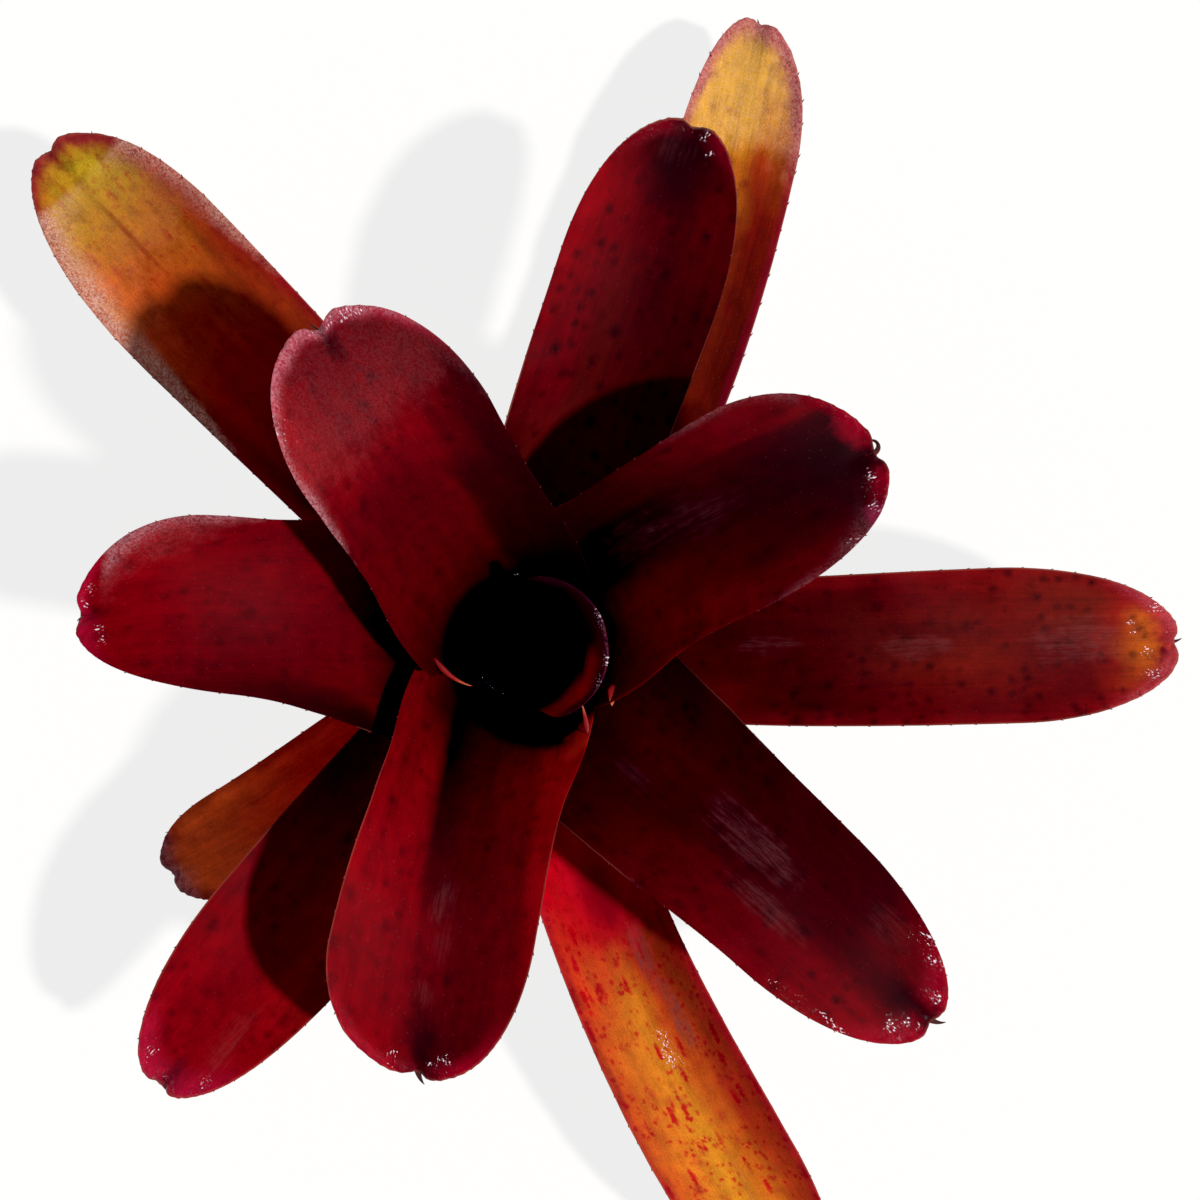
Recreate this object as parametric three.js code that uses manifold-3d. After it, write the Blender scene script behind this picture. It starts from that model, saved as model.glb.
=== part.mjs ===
// Neoregelia bromeliad: a cut rosette of strap leaves round a water-holding cup, on a short woody stem.
//
// Millimetres, +Z up. The origin is the centre of the stem's flat cut end, on the plant's axis.
//
// The plant grows as a spiral: every older leaf starts a little lower and a little further out than the
// one before it, turned by about the golden angle, so the leaves lie in nested layers. One rule makes
// every leaf. A midrib curve is drawn in the plane of radius and height: it climbs the cup's wall, leans
// out over a crest and ends in the tip. Turned round the plant's axis it sweeps a funnel, and the leaf is
// the strip of that funnel within its half width on both sides of the midrib. The strip's edges are
// raised into a channel, and its end into a spoon that is pinched into a notch at the midrib, where the
// thorn stands. Both margins carry small spines.

import * as THREE from 'three';
import { mergeVertices } from 'three/addons/utils/BufferGeometryUtils.js';
import Module from 'manifold-3d';

const wasm = await Module();
wasm.setup();

const DEG = Math.PI / 180;

// ---- Driving dimensions: the stem and the spiral of leaf bases ----

const CUT_RADIUS = 17;         // flat cut end that the plant stands on
const STUB_RADIUS = 21;        // woody stub at its widest
const STUB_HEIGHT = 15;        // where the stub ends and the leaf bases begin
const SCAR_STEP = 3.2;         // height between the scars of fallen leaves
const SCAR_DEPTH = 0.9;        // depth of the groove above each scar
const SCAR_LIP = 0.3;          // the lip lies this far below a scar and the groove that far above, in steps
const SCAR_GROOVE = 0.1;
const STEM_SIDES = 24;
const SEAT_GAP = 0.35;         // clearance between the stem and a leaf's base

const FIRST_RADIUS = 6;        // where leaf_01 leaves the stem: radius and height
const FIRST_HEIGHT = 42;
const LAYER_PITCH = 1.5;       // each older leaf starts this much further out
const LAYER_DROP = 2;          // and this much lower
const HEART_LEAVES = 2;        // young leaves inside leaf_01

// ---- Driving dimensions: what all leaves share ----

const RIB_THICK = 1.0;         // thickness along the midrib
const EDGE_THICK = 0.7;        // thickness at the margins
const COLLAR = 1.25;           // how much wider than its neck a leaf is where it clasps the cup
const COLLAR_END = 23;         // radial distance over which the collar narrows to the neck
const COLLAR_RADIUS = 17;      // radius at which leaf_01's collar starts to narrow
const COLLAR_SHIFT = 0.9;      // how much further out it starts on each older leaf
const NECK_FROM = 0.3;         // fractions of the length between which the neck widens to the blade
const NECK_TO = 0.72;
const CHANNEL_FROM = 30;       // radii between which the channel opens
const CHANNEL_TO = 60;
const SPOON = 0.8;             // rise of the spoon's end, as a share of the channel's depth
const NOTCH_HALF = 2.8;        // half width of the notch that pinches the spoon's end at the midrib
const PINCH = 0.75;            // how much of the spoon's rise the midrib misses there
const APEX_WIDTH = 0.04;       // half width left at the very tip, as a share of the blade's
const ROW_LENGTH = 10;         // length of a row of facets along a leaf, before its round end
const END_ROWS = 7;            // rows of facets round the end
const FEWEST_ROWS = 5;         // least rows before it
const COLUMNS = 8;             // columns of facets across a leaf

// ---- Driving dimensions: spines and thorns ----

const SPINE_STEP = 9.5;        // distance between spines along a margin
const SPINE_JITTER = 1.5;      // largest random shift of a spine
const SPINE_LENGTH = 1.3;      // length outside the margin
const SPINE_ROOT = 1.4;        // length sunk in the leaf
const SPINE_HALF = 0.8;        // half width along the margin, at the root
const SPINE_THICK = 0.24;      // half thickness, at the root
const SPINE_SIDES = 4;
const SPINE_LEAN = 50;         // degrees from square to the margin, towards the tip
const SPINES_FROM = 34;        // radius at which the margins come clear of the cup
const SPINES_END = 9;          // bare length of margin before the tip
const THORN_LENGTH = 3.5;
const THORN_ROOT = 3;          // length sunk in the leaf
const THORN_RADIUS = 0.75;
const THORN_SIDES = 5;
const SEED = 7;

// ---- The leaves, from the youngest to the oldest ----
//
// azimuth and sweep are degrees: the direction of the base, and how far the tip bends round from it.
// knee, crest and tip are [radius, height]: two handles of the midrib curve, and its end.
// width is the blade's full width; neck is the neck's width as a share of it.
// taper is the length of the rounded end right and left of the midrib, as shares of the half width.
// wrap is the half angle that the base clasps; channel is the depth of the blade's hollow; notch is the
// depth of the cleft at the tip, and sway how far the blade swings to the right of its curve in its lower
// half and to the left of it in its upper half.

const LEAVES = [
  { name: 'heart_leaf_2', azimuth: 85, sweep: 0, knee: [5, 52], crest: [7, 60], tip: [8, 70],
    width: 14, neck: 1, taper: [1.6, 1.6], wrap: 70, channel: 0, notch: 0, sway: 0, color: 0x5a1626 },
  { name: 'heart_leaf_1', azimuth: 222, sweep: 0, knee: [7.5, 56], crest: [10.5, 72], tip: [12, 88],
    width: 22, neck: 1, taper: [1.5, 1.5], wrap: 75, channel: 0, notch: 0, sway: 0, color: 0x641a2a },
  { name: 'leaf_01', azimuth: 12, sweep: -4, knee: [13, 70], crest: [16, 104], tip: [22, 124],
    width: 36, neck: 1, taper: [1, 1], wrap: 85, channel: 0, notch: 1.5, sway: 0, color: 0x8c2a45 },
  { name: 'leaf_02', azimuth: 116.5, sweep: 4.5, knee: [16, 86], crest: [52, 162], tip: [89, 140],
    width: 51, neck: 1.05, taper: [1.15, 1.2], wrap: 80, channel: 3, notch: 2.4, sway: 0, color: 0x9c2a3c },
  { name: 'leaf_03', azimuth: 249.5, sweep: 7, knee: [17, 86], crest: [60, 134], tip: [104, 108],
    width: 50, neck: 0.97, taper: [0.95, 1.4], wrap: 72, channel: 5, notch: 0.2, sway: 0, color: 0x98283a },
  { name: 'leaf_04', azimuth: 37, sweep: -8, knee: [22, 78], crest: [58, 138], tip: [97.5, 118],
    width: 50, neck: 1.03, taper: [1.5, 0.95], wrap: 78, channel: 5, notch: 0.5, sway: 0.4, color: 0x7c2438 },
  { name: 'leaf_05', azimuth: 166, sweep: 9.5, knee: [24, 76], crest: [66, 122], tip: [107, 100],
    width: 46, neck: 1.6, taper: [1.1, 2.2], wrap: 76, channel: 5, notch: 0.2, sway: 0, color: 0xa02e42 },
  { name: 'leaf_06', azimuth: 317.6, sweep: 0.3, knee: [26, 74], crest: [80, 116], tip: [138, 86.5],
    width: 44, neck: 1.3, taper: [2.1, 2.5], wrap: 74, channel: 5, notch: 0.2, sway: 0.6, color: 0x702034 },
  { name: 'leaf_07', azimuth: 73.6, sweep: -2, knee: [28, 70], crest: [84, 110], tip: [138, 82],
    width: 42, neck: 1.03, taper: [2.1, 1.8], wrap: 74, channel: 5, notch: 0.3, sway: -0.8, color: 0x942c3c },
  { name: 'leaf_08', azimuth: 230.2, sweep: 0, knee: [29, 64], crest: [92, 96], tip: [146, 62],
    width: 41, neck: 1, taper: [2.7, 3.1], wrap: 72, channel: 5, notch: 0.2, sway: 0, color: 0x983038 },
  { name: 'leaf_09', azimuth: 359.5, sweep: 1, knee: [30, 60], crest: [105, 88], tip: [170, 52.5],
    width: 40, neck: 0.98, taper: [2.3, 2.5], wrap: 70, channel: 5, notch: 0.2, sway: 0.8, color: 0xa04838 },
  { name: 'leaf_10', azimuth: 133, sweep: 0.8, knee: [31, 56], crest: [110, 82], tip: [181, 45],
    width: 42.5, neck: 0.95, taper: [2.1, 2.7], wrap: 68, channel: 5, notch: 0.2, sway: 0.4, color: 0xb8603c },
  { name: 'leaf_11', azimuth: 287, sweep: 7, knee: [32, 50], crest: [115, 72], tip: [191, 32],
    width: 36, neck: 0.9, taper: [2.6, 2.6], wrap: 66, channel: 4, notch: 1, sway: 1.6, color: 0xd0682e },
  { name: 'leaf_12', azimuth: 61, sweep: 8.5, knee: [33, 46], crest: [112, 62], tip: [180, 26],
    width: 33, neck: 1.01, taper: [2.4, 2.8], wrap: 64, channel: 4, notch: 0.4, sway: 2, color: 0xc87838 },
  { name: 'leaf_13', azimuth: 215.5, sweep: -2.8, knee: [34, 40], crest: [80, 50], tip: [115, 16],
    width: 29, neck: 1.1, taper: [2, 2.1], wrap: 62, channel: 4, notch: 0.6, sway: 0, color: 0xb06440 },
];

// ---- Helpers ----

// 0 below a, 1 above b and an S-curve between them.
function smooth(x, a, b) {
  const t = Math.min(Math.max((x - a) / (b - a), 0), 1);
  return t * t * (3 - 2 * t);
}

function mix(a, b, t) {
  return a + (b - a) * t;
}

// A small seeded generator of numbers from 0 to 1, so that every build is the same.
function makeRandom(seed) {
  let state = seed;
  return () => {
    state = (state * 48271) % 2147483647;
    return state / 2147483647;
  };
}

// A closed geometry as a solid that can be joined.
function solidOf(geometry) {
  const bare = geometry.clone();
  bare.deleteAttribute('normal');
  bare.deleteAttribute('uv');
  const merged = mergeVertices(bare, 1e-5);
  return new wasm.Manifold(new wasm.Mesh({
    numProp: 3,
    vertProperties: new Float32Array(merged.attributes.position.array),
    triVerts: new Uint32Array(merged.index.array),
  }));
}

function geometryOf(solid) {
  const mesh = solid.getMesh();
  const geometry = new THREE.BufferGeometry();
  geometry.setAttribute('position', new THREE.BufferAttribute(new Float32Array(mesh.vertProperties), 3));
  geometry.setIndex(new THREE.BufferAttribute(new Uint32Array(mesh.triVerts), 1));
  geometry.computeVertexNormals();
  return geometry;
}

// ---- The leaf's surface ----

// Where the leaf of this order, 0 for leaf_01, starts on the stem.
function leafBase(order) {
  return new THREE.Vector2(FIRST_RADIUS + LAYER_PITCH * order, FIRST_HEIGHT - LAYER_DROP * order);
}

// The leaf's measures along its midrib: u runs from 0 at the base to 1 at the tip.
function makeLeafForm(leaf, order) {
  const midrib = new THREE.CubicBezierCurve(
    leafBase(order),
    new THREE.Vector2(...leaf.knee),
    new THREE.Vector2(...leaf.crest),
    new THREE.Vector2(...leaf.tip),
  );
  midrib.arcLengthDivisions = 400;
  const length = midrib.getLength();
  const [rightEnd, leftEnd] = leaf.taper.map((share) => share * leaf.width / 2);
  const meanEnd = (leftEnd + rightEnd) / 2;
  const collarStart = COLLAR_RADIUS + COLLAR_SHIFT * order;

  const neckShare = (u) => mix(leaf.neck, 1, smooth(u, NECK_FROM, NECK_TO));
  const endShare = (u, end) => Math.max(1 - (1 - u) * length / end, 0);

  // The leaf's width on one side of the midrib, left of it where side is above 0: the base clasps the
  // stem, the collar and neck narrow, and the end is round.
  const halfWidth = (u, side) => {
    const radius = midrib.getPointAt(u).x;
    const blade = leaf.width / 2 * neckShare(u);
    const collar = blade * mix(COLLAR, 1, smooth(radius, collarStart, collarStart + COLLAR_END));
    const share = endShare(u, side > 0 ? leftEnd : rightEnd);
    const round = Math.sqrt(Math.max(1 - share ** 2, APEX_WIDTH ** 2));
    return Math.min(radius * leaf.wrap * DEG, collar) * round;
  };

  // The point of the leaf's middle surface at u, and at distance x from the midrib round the plant. The
  // notch sets the end back near the midrib and keeps it low between the two lobes of the spoon.
  const pointAt = (u, x) => {
    const cleft = Math.exp(-((x / NOTCH_HALF) ** 2));
    const end = endShare(u, meanEnd) ** 2;
    const at = u - leaf.notch / length * cleft * end;
    const point = midrib.getPointAt(at);
    const along = midrib.getTangentAt(at);
    const across = x / (leaf.width / 2 * neckShare(u));
    const open = smooth(point.x, CHANNEL_FROM, CHANNEL_TO);
    const lift = leaf.channel * open * (across ** 2 + SPOON * end * (1 - PINCH * cleft));
    const radius = point.x - lift * along.y;
    const side = x - leaf.sway * Math.sin(2 * Math.PI * u);
    const angle = (leaf.azimuth + leaf.sweep * u * u) * DEG + side / point.x;
    return new THREE.Vector3(radius * Math.cos(angle), radius * Math.sin(angle), point.y + lift * along.x);
  };

  // Unit directions of the surface there: along the leaf, across it, and up out of its upper face.
  const frameAt = (u, x) => {
    const step = 0.002;
    const before = pointAt(Math.max(u - step, 0), x);
    const along = pointAt(Math.min(u + step, 1), x).sub(before).normalize();
    const across = pointAt(u, x + step).sub(pointAt(u, x - step)).normalize();
    const up = new THREE.Vector3().crossVectors(along, across).normalize();
    return { along, across, up };
  };

  return { length, meanEnd, midrib, halfWidth, pointAt, frameAt };
}

// ---- The leaf's solid ----

// Where the rows of facets lie along a leaf: evenly up to its round end, then in even steps of angle.
function rowPlaces(form) {
  const straight = 1 - form.meanEnd / form.length;
  const count = Math.max(Math.round(straight * form.length / ROW_LENGTH), FEWEST_ROWS);
  const places = [];
  for (let i = 0; i < count; i += 1) places.push(straight * i / count);
  for (let i = 0; i <= END_ROWS; i += 1) {
    places.push(mix(straight, 1, Math.sin(i / END_ROWS * Math.PI / 2)));
  }
  return places;
}

// The blade is a grid of points, doubled into an upper and a lower face with the same diagonals, and
// closed by a wall all round.
function bladeGeometry(form) {
  const places = rowPlaces(form);
  const rows = places.length - 1;
  const columns = COLUMNS;
  const positions = [];
  for (const side of [1, -1]) {
    for (const u of places) {
      for (let j = 0; j <= columns; j += 1) {
        const v = 2 * j / columns - 1;
        const x = v * form.halfWidth(u, v);
        const thick = mix(RIB_THICK, EDGE_THICK, v * v);
        const point = form.pointAt(u, x);
        point.addScaledVector(form.frameAt(u, x).up, side * thick / 2);
        positions.push(point.x, point.y, point.z);
      }
    }
  }
  const layer = (rows + 1) * (columns + 1);
  const top = (i, j) => i * (columns + 1) + j;
  const low = (i, j) => layer + top(i, j);
  const faces = [];
  for (let i = 0; i < rows; i += 1) {
    for (let j = 0; j < columns; j += 1) {
      faces.push(top(i, j), top(i + 1, j), top(i + 1, j + 1), top(i, j), top(i + 1, j + 1), top(i, j + 1));
      faces.push(low(i, j), low(i + 1, j + 1), low(i + 1, j), low(i, j), low(i, j + 1), low(i + 1, j + 1));
    }
  }
  // The wall follows the rim counter-clockwise as seen from above the upper face.
  const rim = [];
  for (let i = 0; i < rows; i += 1) rim.push([i, 0]);
  for (let j = 0; j < columns; j += 1) rim.push([rows, j]);
  for (let i = rows; i > 0; i -= 1) rim.push([i, columns]);
  for (let j = columns; j > 0; j -= 1) rim.push([0, j]);
  rim.forEach(([i, j], k) => {
    const [m, n] = rim[(k + 1) % rim.length];
    faces.push(low(i, j), low(m, n), top(m, n), low(i, j), top(m, n), top(i, j));
  });
  const geometry = new THREE.BufferGeometry();
  geometry.setAttribute('position', new THREE.BufferAttribute(new Float32Array(positions), 3));
  geometry.setIndex(faces);
  return geometry;
}

// A cone whose root lies at `root` and which points along `direction`, flattened along `flat`.
function spikeGeometry(root, direction, flat, radius, thick, length, sides) {
  const cone = new THREE.ConeGeometry(1, 1, sides).translate(0, 0.5, 0);
  const side = new THREE.Vector3().crossVectors(direction, flat).normalize();
  const level = new THREE.Vector3().crossVectors(side, direction).normalize();
  const place = new THREE.Matrix4().makeBasis(
    side.multiplyScalar(radius),
    direction.clone().multiplyScalar(length),
    level.multiplyScalar(thick),
  );
  return cone.applyMatrix4(place.setPosition(root));
}

// The spines of one margin, leaning towards the tip: edge is 1 for the left margin, -1 for the right.
function marginSpines(form, edge, random) {
  const spikes = [];
  const lean = SPINE_LEAN * DEG;
  for (let s = SPINE_STEP; s < form.length - SPINES_END; s += SPINE_STEP) {
    const u = (s + SPINE_JITTER * (2 * random() - 1)) / form.length;
    if (form.midrib.getPointAt(u).x < SPINES_FROM) continue;
    const x = edge * form.halfWidth(u, edge);
    const { along, across, up } = form.frameAt(u, x);
    const direction = across.clone().multiplyScalar(edge * Math.cos(lean));
    direction.addScaledVector(along, Math.sin(lean)).normalize();
    const root = form.pointAt(u, x).addScaledVector(direction, -SPINE_ROOT);
    const length = SPINE_ROOT + SPINE_LENGTH;
    spikes.push(spikeGeometry(root, direction, up, SPINE_HALF, SPINE_THICK, length, SPINE_SIDES));
  }
  return spikes;
}

function tipThorn(form) {
  const { along, up } = form.frameAt(1, 0);
  const root = form.pointAt(1, 0).addScaledVector(along, -THORN_ROOT);
  return spikeGeometry(root, along, up, THORN_RADIUS, THORN_RADIUS, THORN_ROOT + THORN_LENGTH, THORN_SIDES);
}

function leafGeometry(leaf, order, random) {
  const form = makeLeafForm(leaf, order);
  let solid = solidOf(bladeGeometry(form));
  const spikes = [...marginSpines(form, 1, random), ...marginSpines(form, -1, random), tipThorn(form)];
  for (const spike of spikes) solid = solid.add(solidOf(spike));
  return geometryOf(solid);
}

// ---- The stem ----

// The woody stub carries the scars of fallen leaves. Above it the stem is a cone that stays just inside
// the spiral of leaf bases, and it ends in the growing point.
function stemGeometry() {
  const profile = [new THREE.Vector2(0, 0), new THREE.Vector2(CUT_RADIUS, 0)];
  for (let z = SCAR_STEP; z < STUB_HEIGHT - SCAR_STEP / 2; z += SCAR_STEP) {
    const radius = mix(CUT_RADIUS, STUB_RADIUS, smooth(z, 0, STUB_HEIGHT));
    profile.push(new THREE.Vector2(radius, z - SCAR_STEP * SCAR_LIP));
    profile.push(new THREE.Vector2(radius - SCAR_DEPTH, z + SCAR_STEP * SCAR_GROOVE));
  }
  profile.push(new THREE.Vector2(STUB_RADIUS, STUB_HEIGHT));
  const slope = LAYER_PITCH / LAYER_DROP;
  const inset = RIB_THICK / 2 + SEAT_GAP;
  for (let order = LEAVES.length - HEART_LEAVES - 1; order >= -HEART_LEAVES; order -= 2) {
    const base = leafBase(order);
    profile.push(new THREE.Vector2(base.x - inset, base.y));
  }
  const top = leafBase(-HEART_LEAVES);
  profile.push(new THREE.Vector2(0, top.y + (top.x - inset) / slope));
  return new THREE.LatheGeometry(profile, STEM_SIDES).rotateX(Math.PI / 2);
}

// ---- The plant ----

const plant = new THREE.Group();

const stem = new THREE.Mesh(
  geometryOf(solidOf(stemGeometry())),
  new THREE.MeshStandardMaterial({ color: 0x6b4a32, roughness: 0.9, metalness: 0 }),
);
stem.name = 'stem';
plant.add(stem);

const random = makeRandom(SEED);
LEAVES.forEach((leaf, index) => {
  const mesh = new THREE.Mesh(
    leafGeometry(leaf, index - HEART_LEAVES, random),
    new THREE.MeshStandardMaterial({ color: leaf.color, roughness: 0.35, metalness: 0 }),
  );
  mesh.name = leaf.name;
  plant.add(mesh);
});

export default plant;
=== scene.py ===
# %% [markdown]
# # A neoregelia bromeliad
#
# A neoregelia is a rosette of strap leaves round a cup that holds rain water. It grows as a spiral, so each
# leaf starts a little outside and a little below the next younger one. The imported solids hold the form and
# the size of every leaf. This script puts a fine surface over each of them, with its spines, its thorn and
# the colours of a plant that was grown in strong sun.

import bpy
import numpy as np
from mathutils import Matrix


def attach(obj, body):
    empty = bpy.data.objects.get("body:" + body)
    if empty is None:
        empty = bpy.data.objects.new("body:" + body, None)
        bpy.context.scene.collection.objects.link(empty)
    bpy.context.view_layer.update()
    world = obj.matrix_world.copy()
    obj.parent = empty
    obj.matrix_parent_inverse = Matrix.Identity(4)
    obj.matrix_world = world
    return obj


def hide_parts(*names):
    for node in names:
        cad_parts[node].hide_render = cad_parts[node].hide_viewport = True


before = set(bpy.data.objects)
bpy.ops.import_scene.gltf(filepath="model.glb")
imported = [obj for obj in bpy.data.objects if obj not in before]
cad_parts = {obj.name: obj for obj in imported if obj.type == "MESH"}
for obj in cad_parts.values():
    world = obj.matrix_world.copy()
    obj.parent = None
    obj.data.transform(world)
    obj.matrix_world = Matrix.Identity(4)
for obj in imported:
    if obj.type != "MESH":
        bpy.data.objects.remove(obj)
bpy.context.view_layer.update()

MM = 0.001
DEG = np.pi / 180

# %% [markdown]
# ## The camera, the light and the floor
#
# The plant is seen from straight above, by a camera 0.8 m over the cut end of its stem. Light could come
# from one large panel, but then the leaves would lose the shadows that show how they overlap. So one lamp
# stands low on the right like a soft sun, and the sky round it is pale at the horizon and dim overhead:
# leaves that face up keep their deep colour, and raised margins catch the pale ring.

# %% Camera
CAMERA_HEIGHT = 0.8
CAMERA_OVER = (0.0200, 0.0125)
CAMERA_LENS = 85.2
SENSOR_WIDTH = 36
BLACK_LEVEL = (0.004, 0.0036, 0.0015)

camera = bpy.data.objects.new("camera", bpy.data.cameras.new("camera"))
camera.data.lens = CAMERA_LENS
camera.data.sensor_width = SENSOR_WIDTH
camera.location = (*CAMERA_OVER, CAMERA_HEIGHT)
bpy.context.scene.collection.objects.link(camera)
bpy.context.scene.camera = camera
view = bpy.context.scene.view_settings
view.view_transform = "Standard"
view.use_curve_mapping = True
view.curve_mapping.black_level = BLACK_LEVEL
view.curve_mapping.update()
print("camera at", tuple(round(c, 3) for c in camera.location))

# %% Key light
KEY_AZIMUTH = -18
KEY_ELEVATION = 58
KEY_STRENGTH = 3.7
KEY_WIDTH = 3.0
KEY_COLOR = (1.0, 0.97, 0.93)

key = bpy.data.objects.new("key", bpy.data.lights.new("key", "SUN"))
key.data.energy = KEY_STRENGTH
key.data.angle = KEY_WIDTH * DEG
key.data.color = KEY_COLOR
key.rotation_euler = (0, (90 - KEY_ELEVATION) * DEG, KEY_AZIMUTH * DEG)
bpy.context.scene.collection.objects.link(key)
print("light from", KEY_AZIMUTH, "degrees round and", KEY_ELEVATION, "degrees up")

# %% [markdown]
# ## Writing shader maths as Python
#
# A material is a tree of nodes. Joined one by one they take many lines, so two small classes help. A Wire
# is the output of a node: it can be added or multiplied like a number, which adds a Math node. A Finish
# is the tree of a material or of the sky, and makes any other node in one call.

# %% The wire class
class Wire:
    """An output socket that takes part in sums. Each operator adds one Math node."""

    def __init__(self, tree, socket):
        self.tree = tree
        self.socket = socket

    def math(self, operation, first, second=0.0):
        """One Math node on two wires or numbers."""
        node = self.tree.nodes.new("ShaderNodeMath")
        node.operation = operation
        for place, value in zip(node.inputs, (first, second)):
            if isinstance(value, Wire):
                self.tree.links.new(value.socket, place)
            else:
                place.default_value = value
        return Wire(self.tree, node.outputs[0])

    def __add__(self, other):
        return self.math("ADD", self, other)

    def __sub__(self, other):
        return self.math("SUBTRACT", self, other)

    def __mul__(self, other):
        return self.math("MULTIPLY", self, other)

    def __truediv__(self, other):
        return self.math("DIVIDE", self, other)

    def __abs__(self):
        return self.math("ABSOLUTE", self)

    def __radd__(self, other):
        return self.math("ADD", other, self)

    def __rsub__(self, other):
        return self.math("SUBTRACT", other, self)

    def __rmul__(self, other):
        return self.math("MULTIPLY", other, self)


# %% The finish class
class Finish:
    """The node tree of its owner, a new material or world, filled by short calls."""

    def __init__(self, owner):
        owner.use_nodes = True
        self.owner = owner
        self.tree = owner.node_tree
        self.tree.nodes.clear()

    def node(self, kind, settings=None, sockets=None, output=0):
        """Makes a node, then its settings, then the values or links of its sockets."""
        node = self.tree.nodes.new(kind)
        for name, value in (settings or {}).items():
            if name == "stops":
                set_stops(node.color_ramp, value)
            else:
                setattr(node, name, value)
        for place, value in (sockets or {}).items():
            if isinstance(value, Wire):
                self.tree.links.new(value.socket, node.inputs[place])
            else:
                node.inputs[place].default_value = value
        return Wire(self.tree, node.outputs[output]) if len(node.outputs) else None

    def attribute(self, name):
        """The number kept under this name at each point of the mesh."""
        return self.node("ShaderNodeAttribute", {"attribute_name": name}, output="Fac")

    def vector(self, x, y, z=0.0):
        """Three numbers as one vector."""
        return self.node("ShaderNodeCombineXYZ", sockets={0: x, 1: y, 2: z})

    def noise(self, vector, detail=2.0, rough=0.5):
        """Soft random blotches about one unit of the vector across, from 0 to 1."""
        sockets = {"Vector": vector, "Scale": 1.0, "Detail": detail, "Roughness": rough}
        return self.node("ShaderNodeTexNoise", sockets=sockets, output="Fac")

    def cells(self, vector):
        """Random points one unit apart: the distance to the nearest one and that one's random number."""
        sockets = {"Vector": vector, "Scale": 1.0, "Randomness": 0.9}
        distance = self.node("ShaderNodeTexVoronoi", sockets=sockets, output="Distance")
        color = Wire(self.tree, distance.socket.node.outputs["Color"])
        return distance, self.node("ShaderNodeSeparateColor", sockets={0: color})

    def step(self, value, low, high):
        """0 where value is below low, 1 above high, an S-curve between; reversed if low is above high."""
        sockets = {"Value": value, "From Min": low, "From Max": high}
        return self.node("ShaderNodeMapRange", {"interpolation_type": "SMOOTHSTEP"}, sockets)

    def ramp(self, value, stops):
        """Colours in between stops, each a position and a colour."""
        return self.node("ShaderNodeValToRGB", {"stops": stops}, {"Fac": value}, output="Color")

    def mix(self, factor, first, second, blend="MIX"):
        """A colour between two colours, which are wires or tuples."""
        settings = {"data_type": "RGBA", "blend_type": blend, "clamp_factor": True}
        first, second = (c if isinstance(c, Wire) else (*c, 1.0) for c in (first, second))
        return self.node("ShaderNodeMix", settings, {0: factor, 6: first, 7: second}, output=2)

    def surface(self, sockets):
        """Ends the tree with one Principled shader and gives the material."""
        shader = self.node("ShaderNodeBsdfPrincipled", sockets=sockets)
        self.node("ShaderNodeOutputMaterial", sockets={"Surface": shader})
        return self.owner


def new_finish(name):
    """An empty material of this name."""
    return Finish(bpy.data.materials.new(name))


def set_stops(color_ramp, stops):
    """Gives a ramp its stops, each a position and a colour of three numbers."""
    while len(color_ramp.elements) < len(stops):
        color_ramp.elements.new(1.0)
    for element, (position, color) in zip(color_ramp.elements, stops):
        element.position = position
        element.color = (*color, 1.0)


# %% Floor and sky
FLOOR_RADIUS = 6.0
FLOOR_CORNERS = 96
FLOOR_COLOR = (0.15, 0.15, 0.148, 1)
FLOOR_GLOW = 0.82
SKY = [(0.0, (0.92, 0.92, 0.92)), (0.12, (0.85, 0.85, 0.86)), (0.45, (0.22, 0.22, 0.23)),
       (1.0, (0.10, 0.10, 0.11))]


def make_floor():
    """A round floor, far wider than the plant, so that low views meet no edge. It glows a little."""
    turns = np.linspace(0, 2 * np.pi, FLOOR_CORNERS, endpoint=False)
    points = np.stack([FLOOR_RADIUS * np.cos(turns), FLOOR_RADIUS * np.sin(turns), 0 * turns], 1)
    mesh = bpy.data.meshes.new("floor")
    mesh.from_pydata(points.tolist(), [], [list(range(len(turns)))])
    mesh.materials.append(new_finish("pale_floor").surface({
        "Base Color": FLOOR_COLOR, "Roughness": 0.9, "Specular IOR Level": 0.0,
        "Emission Color": (1, 1, 1, 1), "Emission Strength": FLOOR_GLOW}))
    floor = bpy.data.objects.new("floor", mesh)
    bpy.context.scene.collection.objects.link(floor)


def make_sky():
    """Brightness by height: pale at the horizon, dim overhead."""
    sky = Finish(bpy.data.worlds.new("sky"))
    place = sky.node("ShaderNodeTexCoord", output="Generated")
    height = sky.node("ShaderNodeSeparateXYZ", sockets={0: place}, output=2)
    color = sky.ramp(height, SKY)
    light = sky.node("ShaderNodeBackground", sockets={"Color": color, "Strength": 1.0})
    sky.node("ShaderNodeOutputWorld", sockets={"Surface": light})
    bpy.context.scene.world = sky.owner


make_floor()
make_sky()
print("floor radius:", FLOOR_RADIUS, "m, sky stops:", len(SKY))

# %% [markdown]
# ## The form of a leaf
#
# A neoregelia leaf is a strap that clasps the stem, climbs the wall of the cup, leans out over a crest and
# ends in a shallow spoon with a thorn. It could be modelled by hand from a plane with a curve modifier.
# Here it is one formula, the same for all leaves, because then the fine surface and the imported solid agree
# to a hair. The midrib is a cubic curve of radius and height. Turned round the plant's axis, it sweeps a
# funnel, and the leaf is the strip of that funnel within its half width.

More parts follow.
